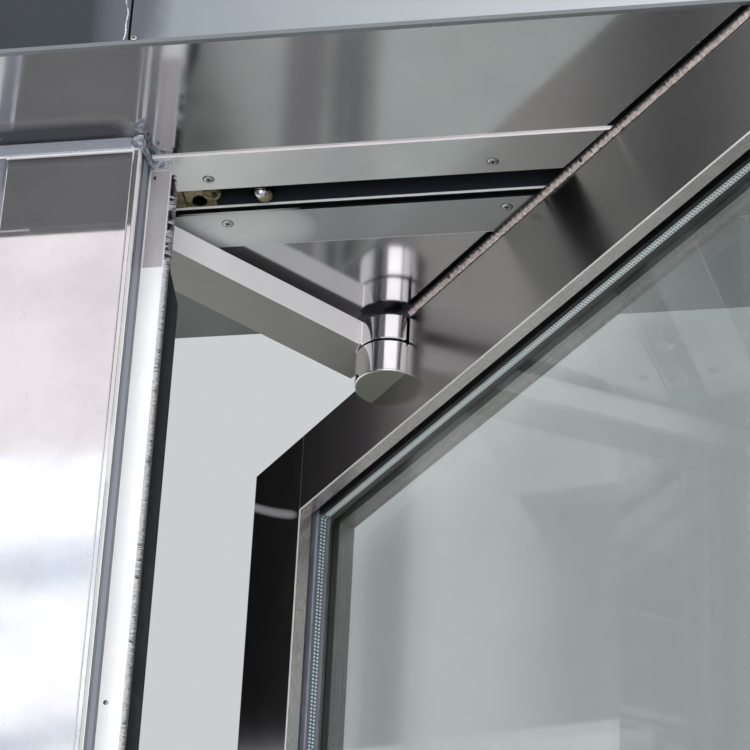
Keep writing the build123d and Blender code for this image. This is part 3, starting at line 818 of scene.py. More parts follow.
class Finishes:
    """Every material of the doors, by name."""

    MID = DoorSizes.mid_height
    METALS = (
        # Painted light and shade: the far plate is a darker tone, the slot walls are near black, the plates lighten
        # towards their outer ends, and the outer edges and the mark near each end are painted highlights.
        Metal("brushed_plate", "c9cccb", "b4b7b6", 0.22, Grain.ALONG_WALL, smudge=0.06, bumpy=0.05,
              zones=(Zone(Axis.Y, 0.0415, 0.0245, "b2b5b5", 0.75),
                     Zone(Axis.Y, 0.0, 0.0651, "f8f2f4", 0.25, beyond=True),
                     Zone(Axis.Y, 0.0, 0.0179, "16181c", 0.3)),
              fade=Fade(Axis.X, -0.60, -0.86, "f6f7f5", 0.35),
              marks=(Mark((Axis.X, Axis.Y), (-0.846, 0.040), (0.065, 0.040), "d8dad8", 0.35),)),
        # Painted shade: the slot walls are near black. The band along the front and rear edges is darker and rougher,
        # and the mark is a dark patch over the front of each post.
        Metal("soffit_steel", "cfd0d0", "bdbebe", 0.11, Grain.ALONG_WALL, lines=0.03, smudge=0.03, bumpy=0.05,
              zones=(Zone(Axis.Y, 0.0, 0.2085, "8f9497", 0.7, 0.45, beyond=True),
                     Zone(Axis.Y, 0.0, 0.0179, "16181c", 0.3, 0.5)),
              marks=(Mark((Axis.X, Axis.Y), (-0.9750, -0.1030), (0.070, 0.024), "45444a", 0.15, blunt=8.0),)),
        # Painted shade: the side of each post's nose is darkened where the trim shades it, with a blue-grey band along
        # its middle.
        Metal("polished_steel", "efeef1", "ccc7cb", 0.05, Grain.UPRIGHT, lines=0.02, smudge=0.04, patch=0.7,
              bumpy=0.05,
              zones=(Zone(Axis.Y, -0.0748, 0.0138, "2c2e36", 0.5, 0.3),
                     Zone(Axis.Y, -0.0755, 0.0062, "9aa2b4", 0.7, 0.3))),
        # Painted shade: the outer panels past the joints are dark grey, the panels darken towards the ends, and the
        # mark darkens each joint. The band along the lower edge has its own tone.
        Metal("header_cladding", "d6dade", "c8ccd0", 0.50, Grain.ALONG_WALL, lines=0.04, metallic=0.7,
              zones=(Zone(Axis.X, 0.0, 0.8895, "484d51", 0.7, beyond=True),
                     Zone(Axis.Z, 2.400, 0.0036, "a2a7aa", 0.7)),
              fade=Fade(Axis.X, -0.45, -0.90, "949da2", 0.7),
              marks=(Mark((Axis.X, Axis.Z), (-0.8890, 2.460), (0.034, 0.200), "6a6f77", 0.7),)),
        # Painted highlights: the thin white lines at both edges of the bead and along the top. The tone also differs by
        # place: a brighter mirror towards the doors, bluer and duller at the ends.
        Metal("trim_steel", "d6dae6", "b4bac8", 0.10, Grain.NONE, lines=0.04, smudge=0.08, patch=1.0,
              metallic=0.8, bumpy=0.06, spread=70.0,
              zones=(Zone(Axis.X, 0.0, 0.9118, "efeef1", 1.0, 0.06), Zone(Axis.X, -0.9113, 0.0011, "ffffff", 0.05),
                     Zone(Axis.X, -0.9052, 0.0010, "ffffff", 0.2),
                     Zone(Axis.Z, MID, 1.1816, "ccd0dc", 0.45, 0.25, beyond=True),
                     Zone(Axis.Z, 2.3858, 0.0010, "ffffff", 0.1))),
        # Painted reflection: above 2.29 m the strip is a darker, more metallic tone. Its white sides and top edge are
        # painted highlights.
        Metal("strip_steel", "ffffff", "f0edf2", 0.26, Grain.UPRIGHT, lines=0.03, metallic=0.15, bumpy=0.1,
              zones=(Zone(Axis.Z, MID, 1.0875, "d8d2d6", 0.5, beyond=True),
                     Zone(Axis.X, -0.8955, 0.0079, "ffffff", 0.1, beyond=True),
                     Zone(Axis.Z, MID, 1.1838, "ffffff", 0.1, beyond=True))),
        Metal("threshold_steel", "bdbcb8", "8e8b84", 0.32, Grain.ALONG_WALL, lines=0.06, smudge=0.09, patch=0.8),
        # Painted shade: the channel is near black for the deep slot it sits in. The white band along its lip is a
        # painted highlight, and the dark line at the band's lower edge painted shade.
        Metal("channel_aluminium", "30343c", "262930", 0.40, Grain.ALONG_WALL, metallic=0.15,
              zones=(Zone(Axis.Z, 2.4054, 0.0013, "ffffff", 0.0), Zone(Axis.Z, 2.4040, 0.0002, "15171b", 0.2))),
        Metal("brass", "958b66", "15120b", 0.30, Grain.NONE, smudge=0.12, patch=1.0, metallic=0.6, spread=110.0),
        Metal("bearing_steel", "8d8d8e", "5e5d5c", 0.36, Grain.NONE, smudge=0.08, patch=0.7),
        # Painted highlight: the white line along the lower edge of the near face. Painted shade: the top face is a
        # darker tone. The underside has its own darker, more metallic tone, and the knuckle end is chrome.
        Metal("arm_steel", "faf7f9", "ebe7ea", 0.38, Grain.ALONG_ARM, lines=0.07, smudge=0.06, metallic=0.10,
              zones=(Zone(Axis.Z, MID, 1.1642, "ffffff", 0.1), Zone(Axis.Z, MID, 1.1632, "b4b3ac", 0.6),
                     Zone(Axis.AROUND, 0.0, 0.0306, "f2f0f2", 1.0, 0.10),
                     Zone(Axis.Z, MID, 1.1872, "d2cccf", 0.1, beyond=True))),
        Metal("shaft_steel", "c4c4c4", "9d9b99", 0.25, Grain.UPRIGHT, smudge=0.06),
        # Painted reflection: the stiles are darker than the top rail, and the leaf darkens towards the hinge. The pale
        # lines where the stiles meet the glass span and the curved pale mark on the hinge stile are painted highlights.
        Metal("leaf_steel", "aaa6a5", "9a9695", 0.21, Grain.ALONG_LEAF, lines=0.03, smudge=0.03, bumpy=0.08,
              zones=(Zone(Axis.X, 0.208, 0.360, "807d82", 1.0, 0.18, beyond=True),
                     Zone(Axis.X, -0.152, 0.0004, "c0c0c2", 0.8), Zone(Axis.X, 0.568, 0.0004, "c0c0c2", 0.8)),
              fade=Fade(Axis.X, 0.06, -0.03, "5f5d61", 1.0, 0.16),
              marks=(Mark((Axis.X, Axis.Z), (-0.205, 2.3077), (0.052, 0.0060), "a8a8aa", 0.2,
                          tilt=-0.587, bend=0.9, blunt=8.0),)),
        # Painted shade: the inner half of each knuckle, within the leaf's depth, is near black. Below 2.334 m the
        # chrome is a duller grey-green.
        Metal("knuckle_chrome", "f2f0f2", "e4e1e4", 0.10, Grain.ALONG_LEAF, lines=0.04, smudge=0.02, bumpy=0.2,
              zones=(Zone(Axis.Z, MID, 1.1292, "9a9c90", 0.35), Zone(Axis.Y, 0.0285, 0.0285, "121211", 0.1))),
        # Painted highlight: the white line along the outer edge. The inner bead has its own darker tone with a dark
        # band.
        Metal("bead_steel", "cdc6c4", "a8a09e", 0.26, Grain.ALONG_LEAF, lines=0.06, smudge=0.08, patch=0.8,
              metallic=0.8,
              zones=(Zone(Axis.Y, 0.0, 0.0006, "ffffff", 0.2), Zone(Axis.Y, 0.0435, 0.0140, "b5b1ae", 0.7),
                     Zone(Axis.Y, 0.0385, 0.0030, "1d1a1a", 0.1, 0.5))),
        Metal("guide_steel", "b5b5b5", "8d8b89", 0.30, Grain.NONE, smudge=0.06),
        Metal("pull_steel", "cfcfce", "b4b2b0", 0.20, Grain.UPRIGHT, lines=0.06),
        Metal("screw_steel", "dcdddd", "9b9a98", 0.16, Grain.NONE, lines=0.03))
    OTHERS = (
        Glass(), SpacerBar(), EdgeSealant(), Film(),
        # Also painted shade: the thin sheet over the leaf pile and the dark top rows of the jamb pile.
        Rubber("black_rubber", "17181a", "2c2d2e", 0.55),
        # Painted shade: the near-black disc in the hole of each stop block; also the dark ring round each stop bolt.
        Rubber("hole_black", "020203", "060607", 0.9, 0.05),
        # Painted shade: the dark cross of each screw and the dark ring round its head.
        Rubber("screw_recess", "1b1b1a", "33322f", 0.6),
        # Painted shade: this white pile finish is near black, for the shade behind the bristles.
        Bristle("white_pile", "2d292c", "121011"),
        Bristle("white_bristle", "ffffff", "dfe5ec"),
        Bristle("beige_pile", "fff4f0", "8f807b"))
    BY_SLOT = {"brushed_steel_plate": "brushed_plate"}
    BY_NODE = {"soffits": "soffit_steel", "jamb_strips": "strip_steel", "left_leaf_brushes": "black_rubber",
               "right_leaf_brushes": "black_rubber", "left_edge_seal": "edge_sealant",
               "right_edge_seal": "edge_sealant"}

    def __init__(self) -> None:
        """Make every material."""
        self.made = {finish.name: finish.build() for finish in self.METALS + self.OTHERS}

    def dress(self, nodes: dict[str, bpy.types.Object], record: dict) -> Iterator[tuple[str, str]]:
        """Give each CAD node the finish of its slot, or its own.

        Args:
            nodes: CAD objects by node name.
            record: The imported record.

        Returns:
            The name of each node with the name of its finish.
        """
        for row in record["subparts"]:
            name, slot = row["node"], row["material_slot"]
            finish = self.BY_NODE.get(name, self.BY_SLOT.get(slot, slot))
            nodes[name].data.materials.clear()
            nodes[name].data.materials.append(self.made[finish])
            yield name, finish


class Piece:
    """A mesh in the making, finished at the origin and hung on a CAD body.

    Attributes:
        name: Name of the piece.
        finishes: Where its materials come from.
        mesh: The mesh so far.
    """

    SHARP_ANGLE = math.radians(40.0)
    MERGE_DISTANCE = 1e-6

    def __init__(self, name: str, finishes: Finishes) -> None:
        """Start an empty piece.

        Args:
            name: Its name.
            finishes: Where its materials come from.
        """
        self.name = name
        self.finishes = finishes
        self.mesh = bmesh.new()

    @staticmethod
    def _paint(points: list[bmesh.types.BMVert], material: int) -> None:
        """Give the faces about some points a finish."""
        for face in {face for point in points for face in point.link_faces}:
            face.material_index = material

    def _join(self, shape: bmesh.types.BMesh, place: Matrix, material: int) -> None:
        """Move a shape to its place and add it.

        Args:
            shape: The shape, which is used up.
            place: Its frame.
            material: Index of its finish.
        """
        bmesh.ops.transform(shape, matrix=place, verts=shape.verts)
        self._paint(shape.verts, material)
        holder = bpy.data.meshes.new(self.name)
        shape.to_mesh(holder)
        shape.free()
        self.mesh.from_mesh(holder)
        bpy.data.meshes.remove(holder)

    def cylinder(self, place: Matrix, radius: float, tip: float, depth: float, sides: int, material: int) -> None:
        """Add a closed cylinder or cone.

        Args:
            place: Frame that it stands on, rising along Z.
            radius: Radius at its foot.
            tip: Radius at its top.
            depth: Height.
            sides: Faces round it.
            material: Index of its finish.
        """
        made = bmesh.ops.create_cone(
            self.mesh, cap_ends=True, cap_tris=False, segments=sides, radius1=radius, radius2=tip, depth=depth,
            matrix=place @ Matrix.Translation((0.0, 0.0, depth / 2)))
        self._paint(made["verts"], material)

    def turned(self, place: Matrix, profile: tuple[tuple[float, float], ...], steps: int, material: int = 0) -> None:
        """Add a turned shape.

        Args:
            place: Frame whose Z is the axis of the turning.
            profile: Radius and height of each ring, in order.
            steps: Faces round the shape.
            material: Index of its finish.
        """
        spun = bmesh.new()
        points = [spun.verts.new((radius, 0.0, height)) for radius, height in profile]
        lines = [spun.edges.new(pair) for pair in zip(points, points[1:])]
        bmesh.ops.spin(spun, geom=points + lines, cent=(0, 0, 0), axis=(0, 0, 1), angle=2 * math.pi,
                       steps=steps, use_merge=True)
        bmesh.ops.remove_doubles(spun, verts=spun.verts, dist=self.MERGE_DISTANCE)
        self._join(spun, place, material)

    def box(self, place: Matrix, size: Point, bevel: float, material: int) -> None:
        """Add a box.

        Args:
            place: Frame at its middle.
            size: Its length, width and height.
            bevel: Width of its rounded edges, or 0.
            material: Index of its finish.
        """
        made = bmesh.ops.create_cube(self.mesh, size=1.0, matrix=place @ Matrix.Diagonal((*size, 1.0)))
        self._paint(made["verts"], material)
        if bevel:
            edges = list({edge for point in made["verts"] for edge in point.link_edges})
            bmesh.ops.bevel(self.mesh, geom=edges, offset=bevel, offset_type="OFFSET", segments=2,
                            profile=0.5, affect="EDGES", material=-1)

    def thread(self, place: Matrix, path: list[Vector], radius: float, sides: int) -> None:
        """Add a closed thread with level rings.

        Args:
            place: Frame of the path.
            path: Middle of each ring, in order.
            radius: Its radius.
            sides: Faces round it.
        """
        shape = bmesh.new()
        start = Matrix.Translation(path[0]) @ Matrix.Rotation(math.pi / 2, 4, "Z")
        bmesh.ops.create_circle(shape, cap_ends=False, segments=sides, radius=radius, matrix=start)
        rim = list(shape.edges)
        for here, there in zip(path, path[1:]):
            grown = bmesh.ops.extrude_edge_only(shape, edges=rim)["geom"]
            points = [part for part in grown if isinstance(part, bmesh.types.BMVert)]
            rim = [part for part in grown if isinstance(part, bmesh.types.BMEdge)]
            bmesh.ops.translate(shape, vec=there - here, verts=points)
        bmesh.ops.holes_fill(shape, edges=shape.edges, sides=sides)
        self._join(shape, place, 0)

    def sheet(self, points: list[list[Vector]]) -> None:
        """Add a film too thin to measure, with faces on both of its sides.

        Args:
            points: Columns of points that it passes through, each from top to bottom.
        """
        columns, rows = len(points), len(points[0])
        made = bmesh.ops.create_grid(self.mesh, x_segments=columns - 1, y_segments=rows - 1, size=1.0)["verts"]
        for i, column in enumerate(points):
            for j, point in enumerate(column):
                made[j * columns + i].co = point
        faces = list({face for point in made for face in point.link_faces})
        bmesh.ops.solidify(self.mesh, geom=faces, thickness=0.0)

    def bristles(self, slivers: list[tuple[list[Vector], Vector]], material: int) -> None:
        """Add open three-sided bristles, each a small base whose middle is drawn out to a tip.

        Args:
            slivers: The corners of each base, with the tip.
            material: Index of their finish.
        """
        tips, bases = {}, []
        for corners, tip in slivers:
            base = [self.mesh.verts.new(corner) for corner in corners]
            bases.append(self.mesh.faces.new(base))
            tips[base[0]] = tip
        for point in bmesh.ops.poke(self.mesh, faces=bases)["verts"]:
            roots = (edge.other_vert(point) for edge in point.link_edges)
            point.co = next(tips[root] for root in roots if root in tips)
            self._paint([point], material)

    def finish(self, body: Body, slot: str, materials: tuple[str, ...], place: Matrix | None = None,
               smooth: bool = True) -> bpy.types.Object:
        """Turn the mesh into an object of the scene.

        Args:
            body: CAD body it rides on.
            slot: Record's material slot; not used.
            materials: Names of its finishes, by material index.
            place: Matrix from the mesh's own frame to the world.
            smooth: Whether faces that meet at less than the sharp angle are shaded smooth.

        Returns:
            The new object, at the origin and unturned.
        """
        if place is not None:
            bmesh.ops.transform(self.mesh, matrix=place, verts=self.mesh.verts)
        bmesh.ops.recalc_face_normals(self.mesh, faces=self.mesh.faces)
        data = bpy.data.meshes.new(self.name)
        self.mesh.to_mesh(data)
        self.mesh.free()
        for key in materials:
            data.materials.append(self.finishes.made[key])
        if smooth:
            data.shade_smooth()
            data.set_sharp_from_angle(angle=self.SHARP_ANGLE)
        made = bpy.data.objects.new(self.name, data)
        bpy.context.scene.collection.objects.link(made)
        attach(made, body.value)
        return made


@dataclass(frozen=True)
class Screws:
    """Cross-recessed screws in the cover plates, the jamb strips and the header joint, in metres.

    Attributes:
        doors: Sizes of the CAD model.
        finishes: Where the materials come from.
        dome: Radius and height of each ring of a head, as shares of its radius and height.
        plate_columns: Distances of the plate screws from the middle.
        plate_rows: Depth of each row, with how far it is moved towards the middle.
        strip_heights: Heights of the strip screws.
        strip_place: Place of the strip screws across the jamb and in depth.
        strip_scale: Size of the strip screws as a share of the plate screws.
        joint_place: Place of the joint screw across the jamb and above the soffit.
        joint_turn: Angle of its cross.
        joint_scale: Its size as a share of the plate screws.
        seed: Seed of the angles of the crosses.
    """

    doors: DoorSizes
    finishes: Finishes
    head_radius: float = 0.0044
    head_height: float = 0.0009
    dome: tuple[tuple[float, float], ...] = ((1.0, 0.0), (0.96, 0.40), (0.80, 0.74), (0.50, 0.94), (0.0, 1.0))
    recess_length: float = 0.0048
    recess_width: float = 0.0012
    recess_depth: float = 0.0003
    ring_radius: float = 0.0051
    ring_height: float = 0.00012
    sides: int = 20
    plate_columns: tuple[float, ...] = (0.147, 0.385, 0.623, 0.861)
    plate_rows: tuple[tuple[float, float], ...] = ((-0.0325, -0.001), (0.0315, 0.0025))
    strip_heights: tuple[float, ...] = (2.382, 1.9, 1.4, 0.9, 0.4, 0.05)
    strip_place: tuple[float, float] = (0.053, -0.060)
    strip_scale: float = 0.4
    joint_place: tuple[float, float] = (0.0670, 0.006)
    joint_turn: float = 0.4
    joint_scale: float = 0.6
    seed: int = 7

    def _head(self, piece: Piece, place: Matrix, turn: float, scale: float = 1.0) -> None:
        """Add a domed head with a dark cross and a dark ring round its rim, both painted shade of the recess and of the
        gap round the head.

        Args:
            piece: Mesh that the head joins.
            place: Frame of the head, with Z outwards.
            turn: Angle of the cross.
            scale: Size of the head as a share of the full one.
        """
        radius, height = self.head_radius * scale, self.head_height * scale
        piece.turned(place, tuple((r * radius, h * height) for r, h in self.dome), self.sides)
        # Painted shade: a thin dark disc wider than the head, and two dark bars for the cross.
        ring = self.ring_radius * scale
        piece.cylinder(place, ring, ring * 0.97, self.ring_height, self.sides, 1)
        for angle in (turn, turn + math.pi / 2):
            arm = place @ Matrix.Rotation(angle, 4, "Z") @ Matrix.Translation((0, 0, height * 0.96))
            piece.box(arm, (self.recess_length * scale, self.recess_width * scale, self.recess_depth), 0.0, 1)

    def build(self) -> list[bpy.types.Object]:
        """Make the screws of the plates, the strips and the header joint.

        Returns:
            The plate screws and the strip screws.
        """
        down = Matrix.Rotation(math.pi, 4, "X")
        outward = Matrix.Rotation(math.pi / 2, 4, "X")
        dice = random.Random(self.seed)
        plates = Piece("plate_screws", self.finishes)
        for column in self.plate_columns:
            for side in Side:
                for y, shift in self.plate_rows:
                    place = Matrix.Translation((side.sign * (column - shift), y, self.doors.plate_face)) @ down
                    self._head(plates, place, dice.uniform(0, math.pi))
        strips = Piece("strip_screws", self.finishes)
        for side in Side:
            jamb = self.doors.jamb_frame(side)
            for height in self.strip_heights:
                place = jamb @ Matrix.Translation((*self.strip_place, height)) @ outward
                self._head(strips, place, dice.uniform(0, math.pi), self.strip_scale)
            across, above = self.joint_place
            joint = Matrix.Translation((across, self.doors.header_front, self.doors.soffit + above))
            self._head(strips, jamb @ joint @ outward, self.joint_turn, self.joint_scale)
        looks = ("screw_steel", "screw_recess")
        return [plates.finish(Body.FRAME, "brushed_steel_plate", looks), strips.finish(Body.FRAME, "trim_steel", looks)]


@dataclass(frozen=True)
class JointSealant:
    """A thin wavy thread of sealant beside each joint of the header cladding, in metres.

    Attributes:
        doors: Sizes of the CAD model.
        finishes: Where the materials come from.
        across: Place of the thread across the jamb.
        waves: Swing and angular frequency of each of its waves.
        proud: How far its middle stands before the cladding.
        end_gap: Gap at its top and bottom.
    """

    doors: DoorSizes
    finishes: Finishes
    rows: int = 40
    sides: int = 6
    radius: float = 0.0006
    across: float = 0.0585
    waves: tuple[tuple[float, float], ...] = ((0.0016, 9.0), (0.0006, 31.0))
    proud: float = 0.0002
    end_gap: float = 0.004

    def build(self) -> list[bpy.types.Object]:
        """Make one thread on each front joint.

        Returns:
            Both threads as one piece.
        """
        thread = Piece("joint_sealant", self.finishes)
        length = self.doors.header_height - 2 * self.end_gap
        path = []
        for i in range(self.rows + 1):
            t = i / self.rows
            path.append(Vector((self.across + sum(swing * math.sin(pace * t) for swing, pace in self.waves),
                                self.doors.header_front - self.proud, self.doors.soffit + self.end_gap + t * length)))
        for side in Side:
            thread.thread(self.doors.jamb_frame(side), path, self.radius, self.sides)
        return [thread.finish(Body.FRAME, "header_cladding", ("film",))]


@dataclass(frozen=True)
class StopBolts:
    """Domed bolts that stop the guide in the slot, and the fittings of the stop blocks, in metres.

    Attributes:
        doors: Sizes of the CAD model.
        finishes: Where the materials come from.
        heads: Centre, radius, drop and finish of each part of a bolt.
        stem_radius: Radius of the stem above a head.
        stem_top: Height of the stem.
        hole_shade_disc: Radius and height of each ring of the near-black disc that stands for the shade in the hole of
            a block.
        ring: Radius and thickness of the brass ring.
    """

    doors: DoorSizes
    finishes: Finishes
    heads: tuple[tuple[Point, float, float, int], ...] = (
        ((0.1294, 0.0020, 2.4072), 0.0098, 0.0012, 2), ((0.1304, 0.0044, 2.4058), 0.0070, 0.0058, 1),
        ((0.1284, -0.0012, 2.4062), 0.0062, 0.0066, 0))
    stem_radius: float = 0.0045
    stem_top: float = 0.0300
    head_sides: int = 28
    hole_shade_disc: tuple[tuple[float, float], ...] = (
        (0.0, 0.0006), (0.0061, 0.0004), (0.0064, 0.0), (0.0061, -0.0002), (0.0, -0.0002))
    hole_shade_place: Point = (0.0740, 0.0085, 2.4058)
    ring: tuple[float, float] = (0.0062, 0.0019)
    ring_place: Point = (0.0862, -0.0010, 2.4062)
    lug_place: Point = (0.0570, 0.0, 2.4110)
    lug_size: Point = (0.0086, 0.0336, 0.0090)
    lug_bevel: float = 0.0012
    fitting_sides: int = 24

    def _bolts(self) -> bpy.types.Object:
        """Make one chromed ball head on a brass collar for each half.

        Returns:
            The bolts as one piece.
        """
        piece = Piece("stop_bolt_heads", self.finishes)
        stem = ((self.stem_radius, 0.0024), (self.stem_radius, self.stem_top), (0.0, self.stem_top))
        for side in Side:
            for centre, radius, drop, material in self.heads:
                dome = tuple((radius * math.sin(math.radians(a)), -drop * math.cos(math.radians(a)))
                             for a in range(0, 91, 10))
                piece.turned(self.doors.jamb_frame(side) @ Matrix.Translation(centre),
                             dome + ((radius, 0.0020),) + stem, self.head_sides, material)
        return piece.finish(Body.FRAME, "brass", ("knuckle_chrome", "brass", "hole_black"))

    def _fittings(self) -> bpy.types.Object:
        """Make the near-black disc that stands for the shaded hole, the brass ring and the lug of each block.

        Returns:
            The fittings as one piece.
        """
        piece = Piece("stop_block_fittings", self.finishes)
        middle, half = self.ring
        ring = tuple((middle + half * math.cos(math.radians(a)), half * math.sin(math.radians(a)))
                     for a in range(0, 361, 30))
        for side in Side:
            jamb = self.doors.jamb_frame(side)
            # Painted shade: a near-black disc in place of the shaded hole.
            piece.turned(jamb @ Matrix.Translation(self.hole_shade_place), self.hole_shade_disc, self.fitting_sides, 0)
            piece.turned(jamb @ Matrix.Translation(self.ring_place), ring, self.fitting_sides, 1)
            piece.box(jamb @ Matrix.Translation(self.lug_place), self.lug_size, self.lug_bevel, 1)
        return piece.finish(Body.FRAME, "brass", ("hole_black", "brass"))

    def build(self) -> list[bpy.types.Object]:
        """Make the bolts, which take the place of plain ones, and the fittings.

        Returns:
            Both pieces.
        """
        made = self._bolts()
        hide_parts("stop_buffers")
        return [made, self._fittings()]


@dataclass(frozen=True)
class TuftRow:
    """One row of bristles.

    Attributes:
        start: First root.
        end: Last root.
        outward: Direction the bristles grow in.
        spread: Half depth of the band of roots.
        length: Mean length of a bristle.
        lean: How far a tip leans, as a share of the length.
        seed: Seed of the scatter.
        gaps: Share of the tufts that are missing.
        material: Index of the bristles' finish.
        per_metre: Bristles per metre.
        tuft: Bristles in a tuft.
        root_radius: Radius of a bristle at its root.
        corners: Angles of the corners of a root.
        shares: Least and greatest length, as shares of the mean.
        clump: How much the length swings along the row, as a share.
        pace: How fast it swings, in radians per bristle.
    """

    start: Vector
    end: Vector
    outward: Vector
    spread: float
    length: float
    lean: float
    seed: int
    gaps: float
    material: int = 0
    per_metre: int = 2600
    tuft: int = 8
    root_radius: float = 0.00034
    corners: Point = (0.0, 2.094, 4.189)
    shares: tuple[float, float] = (0.72, 1.05)
    clump: float = 0.12
    pace: float = 0.37

    def grow(self, piece: Piece) -> None:
        """Add the bristles to a piece.

        Args:
            piece: Mesh that the bristles join.
        """
        dice = random.Random(self.seed)
        span = self.end - self.start
        along = span.normalized()
        across = along.cross(self.outward).normalized()
        corners = [(along * math.cos(a) + across * math.sin(a)) * self.root_radius for a in self.corners]
        count = int(span.length * self.per_metre)
        missing = [dice.random() < self.gaps for _ in range(count // self.tuft + 1)]
        slivers = []
        for i in range(count):
            if missing[i // self.tuft]:
                continue
            t = (i + dice.uniform(-0.5, 0.5)) / count
            root = self.start + span * min(max(t, 0.0), 1.0) + Vector((0, self.spread, 0)) * dice.uniform(-1.0, 1.0)
            swing = math.sin(i * self.pace + self.seed) * self.clump
            reach = self.length * dice.uniform(*self.shares) * (1.0 + swing)
            lean = along * dice.uniform(-self.lean, self.lean) + across * dice.uniform(-self.lean, self.lean)
            slivers.append(([root + corner for corner in corners], root + self.outward * reach + lean * reach))
        piece.bristles(slivers, self.material)


@dataclass(frozen=True)
class Pile:
    """Brush pile on the leaf tops and in the jambs, in metres.

    Attributes:
        doors: Sizes of the CAD model.
        finishes: Where the materials come from.
        leaf_rows: Depth, height above the leaf, direction, length, lean and seed of each row on a leaf.
        leaf_spread: Half depth of a row's roots on a leaf.
        gaps: Share of the tufts that are missing in a worn row.
        shade_sheet: Width, height and bevel of the thin black sheet over the pile, a painted shade of the gap under the
            plates.
        shade_sheet_lift: Height of the sheet above the arm's path.
        jamb_rows: Depth, spread, length, whether it is at the top, gaps, finish and seed of each jamb row.
        jamb_span: Foot of the rows, the height where the top rows take over, and the gap at the head.
    """

    doors: DoorSizes
    finishes: Finishes
    leaf_rows: tuple[tuple[float, float, Point, float, float, int], ...] = (
        (0.0, 0.0022, (0, -0.69, 0.72), 0.0056, 0.14, 2), (-0.0002, 0.0032, (0, -0.72, 0.69), 0.0044, 0.2, 3),
        (-0.0002, 0.0014, (0, -0.75, 0.66), 0.0030, 0.4, 4))
    leaf_spread: float = 0.0004
    gaps: float = 0.10
    shade_sheet: Point = (0.0088, 0.0006, 0.0002)
    shade_sheet_lift: float = 0.0036
    jamb_rows: tuple[tuple[float, float, float, bool, float, int, int], ...] = (
        (-0.0020, 0.0008, 0.0040, False, 0.10, 0, 11), (0.0, 0.0012, 0.0044, False, 0.10, 0, 12),
        (-0.001, 0.0015, 0.0044, True, 0.0, 1, 13), (0.002, 0.0020, 0.0050, True, 0.0, 1, 14),
        (-0.0015, 0.001, 0.0068, True, 0.66, 0, 15))
    jamb_span: Point = (0.012, 2.300, 0.004)
    jamb_outward: Point = (0.92, 0.39, 0.0)
    jamb_lean: float = 0.45
    root_inset: float = 0.0004

    def _leaf(self, side: Side) -> bpy.types.Object:
        """Make the pile on top of one leaf, and the thin black sheet over it that stands for painted shade.

        Args:
            side: Left or right half.

        Returns:
            The new piece.
        """
        doors = self.doors
        piece = Piece(f"{side.value}_leaf_pile", self.finishes)
        for y, above, toward, reach, lean, seed in self.leaf_rows:
            ends = (Vector((x, y, doors.leaf_top + above)) for x in (doors.brush_start, doors.latch_length))
            TuftRow(*ends, Vector(toward), self.leaf_spread, reach, lean, seed, self.gaps).grow(piece)
        # Painted shade: a thin black sheet just over the pile tips stands for the shade in the gap under the plates.
        width, height, bevel = self.shade_sheet
        middle = ((doors.brush_start + doors.latch_length) / 2, -0.0002, doors.swing_top + self.shade_sheet_lift)
        piece.box(Matrix.Translation(middle), (doors.latch_length - doors.brush_start, width, height), bevel, 1)
        return piece.finish(side.leaf, "beige_pile", ("beige_pile", "black_rubber"), doors.leaf_frame(side),
                            smooth=False)

    def _jamb(self, side: Side) -> bpy.types.Object:
        """Make the pile in one jamb, pale below and dark at the top, where the dark rows stand for painted shade under
        the header.

        Args:
            side: Left or right half.

        Returns:
            The new piece.
        """
        doors = self.doors
        piece = Piece(f"{side.value}_jamb_pile", self.finishes)
        low, turn, head_gap = self.jamb_span
        # Painted shade: the top rows that take the second finish are dark bristles, for the shade under the header.
        for shift, spread, reach, at_top, gaps, look, seed in self.jamb_rows:
            heights = (turn, doors.strip_top - head_gap) if at_top else (low, turn)
            ends = (Vector((doors.strip_edge - self.root_inset, doors.strip_back + shift, z)) for z in heights)
            TuftRow(*ends, Vector(self.jamb_outward), spread, reach, self.jamb_lean, seed, gaps, look).grow(piece)
        return piece.finish(Body.FRAME, "white_pile", ("white_bristle", "black_rubber"), doors.jamb_frame(side),
                            smooth=False)

    def build(self) -> list[bpy.types.Object]:
        """Make the pile on the leaf tops and in the jambs."""
        return [make(side) for side in Side for make in (self._leaf, self._jamb)]


